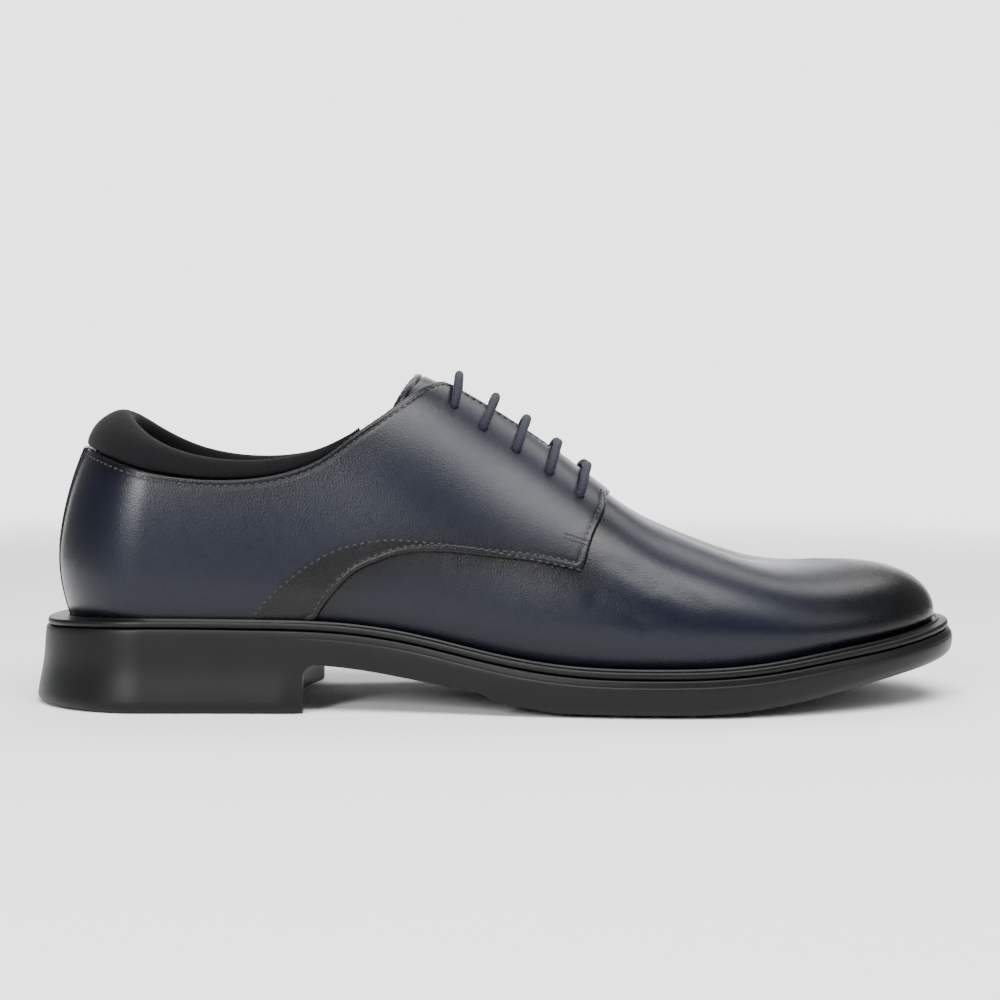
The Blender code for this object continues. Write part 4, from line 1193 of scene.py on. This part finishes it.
def cord_mesh(name, path, radius):
    """A braided tube along a path."""
    tangent = np.gradient(path, axis=0)
    tangent /= np.linalg.norm(tangent, axis=1)[:, None]
    frame_side = np.empty_like(path)
    side = np.cross(tangent[0], (0.0, 0.0, 1.0))
    for i, way in enumerate(tangent):
        side = side - way * side.dot(way)
        side /= np.linalg.norm(side)
        frame_side[i] = side
    frame_up = np.cross(frame_side, tangent)
    angle = np.linspace(0, 2 * np.pi, CORD_SIDES, endpoint=False)[None, :]
    far = walked(path)[:, None]
    wind = 2 * np.pi * far / BRAID_PITCH
    braid = np.maximum(np.cos(STRANDS * angle + wind * STRANDS), np.cos(STRANDS * angle - wind * STRANDS))
    size = radius * (0.92 + 0.11 * braid)
    offset = frame_side[:, None] * (np.cos(angle) * size)[..., None]
    offset = offset + frame_up[:, None] * (np.sin(angle) * size)[..., None]
    tube = path[:, None] + offset
    grid = np.concatenate([tube, tube[:, :1]], axis=1)
    caps = [np.repeat(path[k][None, None], CORD_SIDES + 1, axis=1) for k in (0, -1)]
    grid = np.concatenate([caps[0], grid, caps[1]])
    piece = mesh_piece(name, grid.reshape(-1, 3), grid_faces(*grid.shape[:2]))
    return tidy(piece, merge=1e-7, sharp=180)


ends = {side: eyelet_places(side) for side in (-1, 1)}
over_tree = form_tree(QUARTER_STEP, 0.3, 0.8)


def bar_knots(i):
    """The knots of one bar from its lateral eyelet to its medial one."""
    low, high = ends[-1][2][i], ends[1][2][i]
    ride = LACE_DIAMETER / 2 + 2 * GAP
    middle = []
    for share in np.linspace(0.16, 0.84, 9):
        flat = low + (high - low) * share
        lean = EYELETS[i].lean * 4 * share * (1 - share)
        spot, way, _, _ = over_tree.ray_cast(Vector((flat[0] + lean, flat[1], 0.3)), Vector((0, 0, -1)))
        middle.append(np.array(spot + way * (1 if way.z > 0 else -1) * ride))
    dive = []
    for side in (-1, 1):
        spot, way = ends[side][2][i], ends[side][3][i]
        inwards = ends[-side][2][i] - spot
        inwards /= np.linalg.norm(inwards)
        dive.append([spot + way * out + inwards * across for out, across in EYELET_KNOTS])
    return [*dive[0], *middle, *dive[1][::-1]]


def under_run(i, j, side):
    """Knots of the hidden run under a facing, between eyelets i and j."""
    first, then = [ends[side][2][k] - ends[side][3][k] * UNDER_DEPTH for k in (i, j)]
    return [first + (then - first) * share for share in (0.3, 0.5, 0.7)]


knots = []
for i in range(len(EYELETS)):
    bar = bar_knots(i)
    knots += bar if i % 2 == 0 else bar[::-1]
    if i + 1 < len(EYELETS):
        knots += under_run(i, i + 1, 1 if i % 2 == 0 else -1)
last = len(EYELETS) - 1
knots += under_run(last, 0, 1)
(top_hole, next_hole), way = ends[1][2][:2], ends[1][3][0]
knots.append(top_hole - way * TAIL_DEPTH + (next_hole - top_hole) * TAIL_REACH)
path = smooth_path(np.array(knots), CORD_STEP)
lace = cord_mesh("lace", path, LACE_DIAMETER / 2)
print("lace", len(lace.data.polygons), "faces,", round(float(walked(path)[-1]), 3), "m long")

# %% [markdown]
# ## The stitches
#
# This shoe shows some four hundred stitches in a few long rows. Each row is a line on the leather
# that remembers which way is out, and a Geometry Nodes tree lays one small bead of thread at each step
# along it. Placed by hand they would never keep their pitch, and a bump texture would vanish at a glancing
# angle.

# %% The rows
UPPER_ROW = (  # the second row over the quarter's lower edge, seen from the side
    SidePoint(0.2465, 0.252), SidePoint(0.2610, 0.300), SidePoint(0.2850, 0.361), SidePoint(0.3120, 0.413),
    SidePoint(0.3390, 0.449), SidePoint(0.3660, 0.467), SidePoint(0.3930, 0.475), SidePoint(0.4190, 0.471),
    SidePoint(0.4460, 0.465), SidePoint(0.4730, 0.456), SidePoint(0.5000, 0.444), SidePoint(0.5270, 0.431),
    SidePoint(0.5540, 0.417), SidePoint(0.5850, 0.400),
)
TACKS = (
    (SidePoint(0.5720, 0.4950), SidePoint(0.5830, 0.4860), SidePoint(0.5950, 0.4760)),
    (SidePoint(0.5715, 0.4830), SidePoint(0.5825, 0.4740), SidePoint(0.5945, 0.4640)),
)


def inset_row(line, side, inset):
    """The line that runs at a distance inside a panel's edge."""
    spots = place(*line.T, side, QUARTER_STEP)
    far = walked(spots)
    keep = np.concatenate([[True], np.diff(far) > 1e-6])
    even = np.linspace(0, far[-1], int(far[-1] / 0.001))
    line = np.stack([np.interp(even, far[keep], line[keep, k]) for k in (0, 1)], axis=1)
    spots = place(*line.T, side, QUARTER_STEP)
    inward = np.cross(way_out(*line.T, side), np.gradient(spots, axis=0)) * -side
    inward /= np.linalg.norm(inward, axis=1)[:, None]
    aim = spots + inward * inset
    return np.stack(find(aim[:, 0], aim[:, 2], side, QUARTER_STEP), axis=1)


def row_on(line, side, lift):
    """A row's points and the outward direction at each."""
    return place(*line.T, side, lift), way_out(*line.T, side)


rows, tack_rows = [], []
for side in (-1, 1):
    lines = quarter_lines[side]
    hem = np.concatenate([lines["lower"][14:], lines["front"][1:], lines["throat"][::-1][1:]])
    for line in (hem, lines["topline"][::-1]):
        rows.append(row_on(inset_row(line, side, STITCH_INSET), side, QUARTER_STEP - 0.0001))
    for points, into in ((UPPER_ROW, rows), (TACKS[0], tack_rows), (TACKS[1], tack_rows)):
        line = np.stack(find(*side_line(points).T, side, QUARTER_STEP), axis=1)
        into.append(row_on(line, side, QUARTER_STEP))
length = sum(float(walked(points)[-1]) for points, _ in rows)
print(len(rows), "rows,", round(length, 2), "m of stitching")

# %% The tree that lays the stitches
def node(tree, kind, settings=None, **links):
    """Adds a node, sets it, and gives its inputs values or links. Spaces in their names are written as _."""
    made = tree.nodes.new(kind)
    for name, value in (settings or {}).items():
        setattr(made, name, value)
    for name, value in links.items():
        socket = made.inputs[name.replace("_", " ")]
        if isinstance(value, bpy.types.NodeSocket):
            tree.links.new(value, socket)
        else:
            socket.default_value = value
    return made


def stitch_tree(thread):
    tree = bpy.data.node_groups.new("stitches along a row", "GeometryNodeTree")
    tree.interface.new_socket("Geometry", in_out="INPUT", socket_type="NodeSocketGeometry")
    for name, value in (("Pitch", 0.0024), ("Length", 0.0017), ("Width", 0.00062), ("Height", 0.00058)):
        made = tree.interface.new_socket(name, in_out="INPUT", socket_type="NodeSocketFloat")
        made.default_value = value
    tree.interface.new_socket("Geometry", in_out="OUTPUT", socket_type="NodeSocketGeometry")
    given = tree.nodes.new("NodeGroupInput").outputs
    line = node(tree, "GeometryNodeMeshToCurve", Mesh=given["Geometry"])
    even = node(
        tree,
        "GeometryNodeResampleCurve",
        {"mode": "LENGTH"},
        Curve=line.outputs["Curve"],
        Length=given["Pitch"],
    )
    bead = node(tree, "GeometryNodeMeshUVSphere", Segments=8, Rings=5, Radius=0.5)
    size = node(tree, "ShaderNodeCombineXYZ", X=given["Length"], Y=given["Width"], Z=given["Height"])
    shaped = node(tree, "GeometryNodeTransform", Geometry=bead.outputs["Mesh"], Scale=size.outputs["Vector"])
    smooth = node(tree, "GeometryNodeSetShadeSmooth", Geometry=shaped.outputs["Geometry"])
    out = node(tree, "GeometryNodeInputNamedAttribute", {"data_type": "FLOAT_VECTOR"}, Name="out")
    tangent = tree.nodes.new("GeometryNodeInputTangent")
    ahead = node(tree, "FunctionNodeAlignRotationToVector", {"axis": "X"}, Vector=tangent.outputs["Tangent"])
    upright = node(
        tree,
        "FunctionNodeAlignRotationToVector",
        {"axis": "Z", "pivot_axis": "X"},
        Rotation=ahead.outputs["Rotation"],
        Vector=out.outputs["Attribute"],
    )
    placed = node(
        tree,
        "GeometryNodeInstanceOnPoints",
        Points=even.outputs["Curve"],
        Instance=smooth.outputs["Geometry"],
        Rotation=upright.outputs["Rotation"],
    )
    real = node(tree, "GeometryNodeRealizeInstances", Geometry=placed.outputs["Instances"])
    dressed = node(tree, "GeometryNodeSetMaterial", Geometry=real.outputs["Geometry"], Material=thread)
    tree.links.new(dressed.outputs["Geometry"], tree.nodes.new("NodeGroupOutput").inputs["Geometry"])
    return tree


def lay_stitches(name, rows, thread, **sizes):
    points = np.concatenate([row[0] for row in rows])
    edges, first = [], 0
    for row in rows:
        edges += [(first + i, first + i + 1) for i in range(len(row[0]) - 1)]
        first += len(row[0])
    mesh = bpy.data.meshes.new(name)
    mesh.from_pydata([tuple(point) for point in points], edges, [])
    out = mesh.attributes.new("out", "FLOAT_VECTOR", "POINT")
    out.data.foreach_set("vector", np.concatenate([row[1] for row in rows]).astype(np.float32).ravel())
    piece = bpy.data.objects.new(name, mesh)
    bpy.context.scene.collection.objects.link(piece)
    tree = stitch_tree(thread)
    added = piece.modifiers.new("stitches", "NODES")
    added.node_group = tree
    for item in tree.interface.items_tree:
        if item.in_out == "INPUT" and item.name in sizes:
            added[item.identifier] = sizes[item.name]
    bpy.context.view_layer.update()
    made = bpy.data.meshes.new_from_object(piece.evaluated_get(bpy.context.evaluated_depsgraph_get()))
    piece.modifiers.clear()
    piece.data = made
    return piece

# %% [markdown]
# ## Finishes
#
# The leather is navy, rubbed to black by hand at the toe, the heel and in the band between the two rows of
# stitches. Near the seams and the cut edges the dark is partly that rubbing and partly painted shade, and
# just above the welt it is painted shade. Both belong to places on the shoe, so they are worked out for each
# point of the mesh and kept as an attribute.
# The grain, the fabric's knit and the rubber's fine texture are patterns of the shader. A small class lets
# the shader's values be added and multiplied like numbers, which reads better than a row of Math nodes.

# %% Shader values as numbers
class Wire:
    """A shader socket that takes part in sums."""

    def __init__(self, tree, socket):
        self.tree, self.socket = tree, socket

    def math(self, kind, *others, turned=False, clamp=False):
        made = self.tree.nodes.new("ShaderNodeMath")
        made.operation, made.use_clamp = kind, clamp
        values = [*others, self] if turned else [self, *others]
        for value, slot in zip(values, made.inputs):
            if isinstance(value, Wire):
                self.tree.links.new(value.socket, slot)
            else:
                slot.default_value = value
        return Wire(self.tree, made.outputs[0])

    def __add__(self, other):
        return self.math("ADD", other)

    def __sub__(self, other):
        return self.math("SUBTRACT", other)

    def __rsub__(self, other):
        return self.math("SUBTRACT", other, turned=True)

    def __mul__(self, other):
        return self.math("MULTIPLY", other)

    __radd__, __rmul__ = __add__, __mul__

    def clamped(self):
        return self.math("ADD", 0.0, clamp=True)


class Finish:
    """A material in the making, with one method for every kind of node."""

    def __init__(self, name, **fixed):
        self.material = bpy.data.materials.new(name)
        self.material.use_nodes = True
        self.tree = self.material.node_tree
        self.shader = self.tree.nodes["Principled BSDF"]
        for key, value in fixed.items():
            self.shader.inputs[key.replace("_", " ")].default_value = value

    def node(self, kind, settings=None, output=0, **links):
        made = self.tree.nodes.new(kind)
        for name, value in (settings or {}).items():
            setattr(made, name, value)
        for name, value in links.items():
            key = int(name[1:]) if name[0] == "i" and name[1:].isdigit() else name.replace("_", " ")
            if isinstance(value, Wire):
                self.tree.links.new(value.socket, made.inputs[key])
            else:
                made.inputs[key].default_value = value
        return Wire(self.tree, made.outputs[output])

    def coordinates(self, scale=(1, 1, 1)):
        where = self.node("ShaderNodeTexCoord", output="Object")
        return self.node("ShaderNodeMapping", Vector=where, Scale=scale)

    def noise(self, scale, detail=2.0, rough=0.5, stretch=(1, 1, 1)):
        where = self.coordinates(stretch)
        return self.node(
            "ShaderNodeTexNoise", output="Fac", Vector=where, Scale=scale, Detail=detail, Roughness=rough
        )

    def cells(self, scale, feature="F1", output="Distance"):
        where = self.coordinates()
        return self.node("ShaderNodeTexVoronoi", {"feature": feature}, output, Vector=where, Scale=scale)

    def attribute(self, name):
        return self.node("ShaderNodeAttribute", {"attribute_name": name}, output="Fac")

    def mix(self, share, first, second):
        made = self.tree.nodes.new("ShaderNodeMix")
        made.data_type = "RGBA"
        for key, value in ((0, share), (6, first), (7, second)):
            if isinstance(value, Wire):
                self.tree.links.new(value.socket, made.inputs[key])
            else:
                made.inputs[key].default_value = (*value, 1) if isinstance(value, tuple) else value
        return Wire(self.tree, made.outputs[2])

    def bump(self, height, distance, strength=1.0):
        made = self.node("ShaderNodeBump", Height=height, Distance=distance, Strength=strength)
        self.give("Normal", made)

    def give(self, name, value):
        self.tree.links.new(value.socket, self.shader.inputs[name])


# %% The leather
def leather_finish():
    made = Finish("burnished leather with painted shade", Specular_IOR_Level=0.27, Coat_Weight=0.04, Coat_Roughness=0.25)
    # The attribute darkens the navy to near black: rubbed burnish, and painted shade near the seams and above
    # the welt.
    burnish_and_shade = made.attribute("burnish_and_shade")
    cloud = made.noise(38, 3.0, 0.6)
    mottle = made.noise(240, 2.0, 0.5)
    share = (burnish_and_shade + (cloud - 0.5) * 0.34 + (mottle - 0.5) * 0.10).clamped()
    navy = made.mix(cloud, (0.0020, 0.0030, 0.0084), (0.0036, 0.0052, 0.0135))
    made.give("Base Color", made.mix(share, navy, (0.0007, 0.0008, 0.0010)))
    pores = made.cells(1150, "DISTANCE_TO_EDGE")
    fine = made.noise(2600, 2.0, 0.6)
    made.give("Roughness", 0.325 + (mottle - 0.5) * 0.10 + (fine - 0.5) * 0.10 - burnish_and_shade * 0.045)
    waves = made.noise(26, 1.0, 0.4)
    made.bump(pores * 0.5 + fine * 0.5 + waves * 3.0, 0.00018, 0.55)
    return made.material


def rubber_finish():
    made = Finish("moulded rubber", Specular_IOR_Level=0.24)
    speck = made.noise(3200, 2.0, 0.6)
    cloud = made.noise(55, 2.0, 0.5)
    made.give("Base Color", made.mix(cloud, (0.0012, 0.0012, 0.0014), (0.0022, 0.0023, 0.0025)))
    made.give("Roughness", 0.40 + (cloud - 0.5) * 0.12 + (speck - 0.5) * 0.14)
    made.bump(speck, 0.00006, 0.4)
    return made.material


def fabric_finish(name, low, high, rough):
    """A fine knit: rows of small loops, softened by fuzz."""
    made = Finish(name, Specular_IOR_Level=0.12, Sheen_Weight=0.05, Sheen_Roughness=0.5)
    loops = made.cells(1500)
    fuzz = made.noise(900, 4.0, 0.7)
    cloud = made.noise(70, 2.0, 0.5)
    made.give("Base Color", made.mix((loops * 0.5 + cloud * 0.6).clamped(), low, high))
    made.give("Roughness", rough + (fuzz - 0.5) * 0.12)
    made.bump(loops * 0.6 + fuzz * 0.6 + cloud * 2.5, 0.00016, 0.7)
    return made.material


def cord_finish():
    made = Finish("braided cord", Specular_IOR_Level=0.25, Sheen_Weight=0.15, Sheen_Roughness=0.4)
    fibre = made.noise(2400, 3.0, 0.7)
    made.give(
        "Base Color",
        made.mix((fibre * 0.35 + 0.375).clamped(), (0.0022, 0.0028, 0.0060), (0.012, 0.0155, 0.030)),
    )
    made.give("Roughness", 0.62 + (fibre - 0.5) * 0.2)
    made.bump(fibre, 0.00008, 0.6)
    return made.material


leather, rubber = leather_finish(), rubber_finish()
fabric = fabric_finish("collar knit", (0.0012, 0.0012, 0.0015), (0.0042, 0.0044, 0.0050), 0.86)
lining_cloth = fabric_finish("lining knit", (0.0040, 0.0042, 0.0050), (0.011, 0.0115, 0.013), 0.85)
cord = cord_finish()
thread = Finish(
    "waxed thread", Roughness=0.5, Specular_IOR_Level=0.4, Base_Color=(0.0170, 0.0185, 0.0240, 1)
).material
stitches = lay_stitches("stitches", rows, thread)
tacks = lay_stitches("bar_tacks", tack_rows, thread, Pitch=0.0009, Length=0.0008, Width=0.0007)
print("stitches", len(stitches.data.polygons), "faces, tacks", len(tacks.data.polygons), "faces")

# %% The burnish and the painted shade
def ramp(value, low, high):
    share = np.clip((value - low) / (high - low), 0, 1)
    return share * share * (3 - 2 * share)


HEEL_DARK = (-0.043, -0.012)  # X where the heel's burnish begins to fade, and where it ends
TOE_DARK = (0.186, 0.238)  # where the toe's begins, and where it is full
TOE_SLANT = 0.35  # how far a point's height brings it towards the toe's
WELT_SHADE_FADE = 0.006  # the height over the welt in which it fades
SEAM_FADE = 0.0062  # the distance from a seam in which it fades


def burnish_and_shade_of(piece, seams, band=True):
    """How dark each point is: rubbed at the heel, toe and band, rubbed and painted shade at seams, painted
    shade over the welt.
    """
    points = np.empty(len(piece.data.vertices) * 3)
    piece.data.vertices.foreach_get("co", points)
    points = points.reshape(-1, 3)
    x, z = points[:, 0], points[:, 2]
    feather = STATION_OF["feather"](share_of(x)) * SEAT_HEIGHT
    heel_dark = 1 - ramp(x, *HEEL_DARK)
    toe_dark = ramp(x + TOE_SLANT * (z - 0.03), *TOE_DARK)
    # Painted shade just above the welt, where the upper meets it, fading upwards.
    welt_shade = 0.55 * np.exp(-np.clip(z - feather, 0, None) / WELT_SHADE_FADE)
    # Darker near the seams and the cut edges: partly rubbed burnish, partly painted shade.
    near = edge_distance(points, seams)
    seam_burnish_and_shade = 0.95 * np.exp(-((near / SEAM_FADE) ** 1.4))
    dark = 1 - (1 - heel_dark) * (1 - toe_dark) * (1 - welt_shade) * (1 - seam_burnish_and_shade)
    if band:
        line = side_line(UPPER_ROW)
        over = z - np.interp(x, line[:, 0], line[:, 1])
        inside = (1 - ramp(over, -0.0012, 0.0030)) * ramp(x, line[0, 0] - 0.004, line[0, 0] + 0.004)
        dark = np.maximum(dark, 0.97 * inside)
    values = piece.data.attributes.new("burnish_and_shade", "FLOAT", "POINT")
    values.data.foreach_set("value", dark.astype(np.float32))


seam_lines = {}
for side in (-1, 1):
    lines = quarter_lines[side]
    seam_lines[side] = {name: place(*lines[name].T, side) for name in QUARTER_EDGES}
    burnish_and_shade_of(quarters[side], list(seam_lines[side].values()))
# On the vamp, the darkening along the quarters' edges is painted shade, where the quarters lie over it.
on_vamp = [seam_lines[side][name] for side in (-1, 1) for name in QUARTER_EDGES[:3]]
burnish_and_shade_of(vamp, on_vamp, band=False)
burnish_and_shade_of(backstay, [seam_lines[-1]["topline"]], band=False)
burnish_and_shade_of(tongue, border, band=False)

# %% Dress every piece
SLOTS = (
    (leather, "smooth_leather", (*quarters.values(), vamp, backstay, tongue)),
    (fabric, "black_fabric", (collar,)),
    (lining_cloth, "lining_fabric", (lining, insole)),
    (rubber, "black_rubber", (welt, outsole)),
    (cord, "braided_lace", (lace,)),
    (thread, "braided_lace", (stitches, tacks)),
)
for finish, slot, pieces in SLOTS:
    for piece in pieces:
        piece.data.materials.clear()
        piece.data.materials.append(finish)
        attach(piece, "root")
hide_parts("upper")
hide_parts("collar")
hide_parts("tongue")
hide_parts("insole")
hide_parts("welt")
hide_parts("outsole")
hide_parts(*[f"lace_bar_{i}" for i in range(1, 6)])

# %% [markdown]
# ## The camera, the floor and the light

# %% The camera
camera = bpy.data.objects.new("camera", bpy.data.cameras.new("camera"))
bpy.context.scene.collection.objects.link(camera)
camera.location = (0.107, -0.620, 0.0977)
camera.rotation_euler = (math.radians(90 - 3.04), 0, 0)
camera.data.lens = 67.75
camera.data.sensor_width = 36
camera.data.clip_start = 0.01
bpy.context.scene.camera = camera

# %% The floor and the backdrop
DISC, FADE = 1.1, 0.45  # the floor's radius and where it starts to fade into the backdrop
turns = np.linspace(0, 2 * math.pi, 97)
disc = np.array([[(r * math.cos(a) + 0.1, r * math.sin(a), 0) for a in turns] for r in (0, 0.3, 0.6, DISC)])
floor_mesh = bpy.data.meshes.new("floor")
floor_mesh.from_pydata(disc.reshape(-1, 3).tolist(), [], grid_faces(4, len(turns)))
floor = tidy(bpy.data.objects.new("floor", floor_mesh), merge=1e-6)
bpy.context.scene.collection.objects.link(floor)
paper = Finish("paper", Base_Color=(0.93, 0.93, 0.93, 1), Roughness=0.9, Specular_IOR_Level=0.0)
where = paper.node("ShaderNodeTexCoord", output="Object")
far = paper.node("ShaderNodeVectorMath", {"operation": "LENGTH"}, output="Value", i0=where)
paper.give(
    "Alpha",
    paper.node(
        "ShaderNodeMapRange", {"interpolation_type": "SMOOTHSTEP"}, Value=far, From_Min=DISC, From_Max=FADE
    ),
)
floor_mesh.materials.append(paper.material)

world = bpy.data.worlds.new("studio")
world.use_nodes = True
sky = world.node_tree
way = node(sky, "ShaderNodeSeparateXYZ", Vector=sky.nodes.new("ShaderNodeTexCoord").outputs["Generated"])
smooth = {"interpolation_type": "SMOOTHSTEP"}
ahead = node(sky, "ShaderNodeMapRange", smooth, Value=way.outputs["Y"], From_Min=0.80, From_Max=0.955)
below = node(sky, "ShaderNodeMapRange", smooth, Value=way.outputs["Z"], From_Min=-0.04, From_Max=-0.20)
either = node(sky, "ShaderNodeMath", {"operation": "MAXIMUM"})
sky.links.new(ahead.outputs["Result"], either.inputs[0])
sky.links.new(below.outputs["Result"], either.inputs[1])
bright = node(sky, "ShaderNodeMapRange", Value=either.outputs[0], To_Min=0.32, To_Max=3.0)
sky.nodes["Background"].inputs["Color"].default_value = (0.97, 0.98, 1.0, 1)
sky.links.new(bright.outputs["Result"], sky.nodes["Background"].inputs["Strength"])
bpy.context.scene.world = world


def lamp(name, spot, aim, size, watts):
    light = bpy.data.lights.new(name, "AREA")
    light.shape = "RECTANGLE"
    light.size, light.size_y = size
    light.energy = watts
    made = bpy.data.objects.new(name, light)
    bpy.context.scene.collection.objects.link(made)
    made.location = spot
    made.rotation_euler = (Vector(aim) - Vector(spot)).to_track_quat("-Z", "Y").to_euler()


lamp("key", (0.22, -0.50, 1.05), (0.12, 0, 0.05), (1.0, 0.6), 24)
lamp("back", (0.20, 0.60, 1.00), (0.12, 0, 0.05), (1.2, 0.5), 9)
lamp("left", (-0.46, -1.00, 0.50), (0.0, 0, 0.06), (0.26, 0.38), 12)
lamp("right", (0.95, -0.55, 0.60), (0.15, 0, 0.05), (0.4, 0.5), 2)
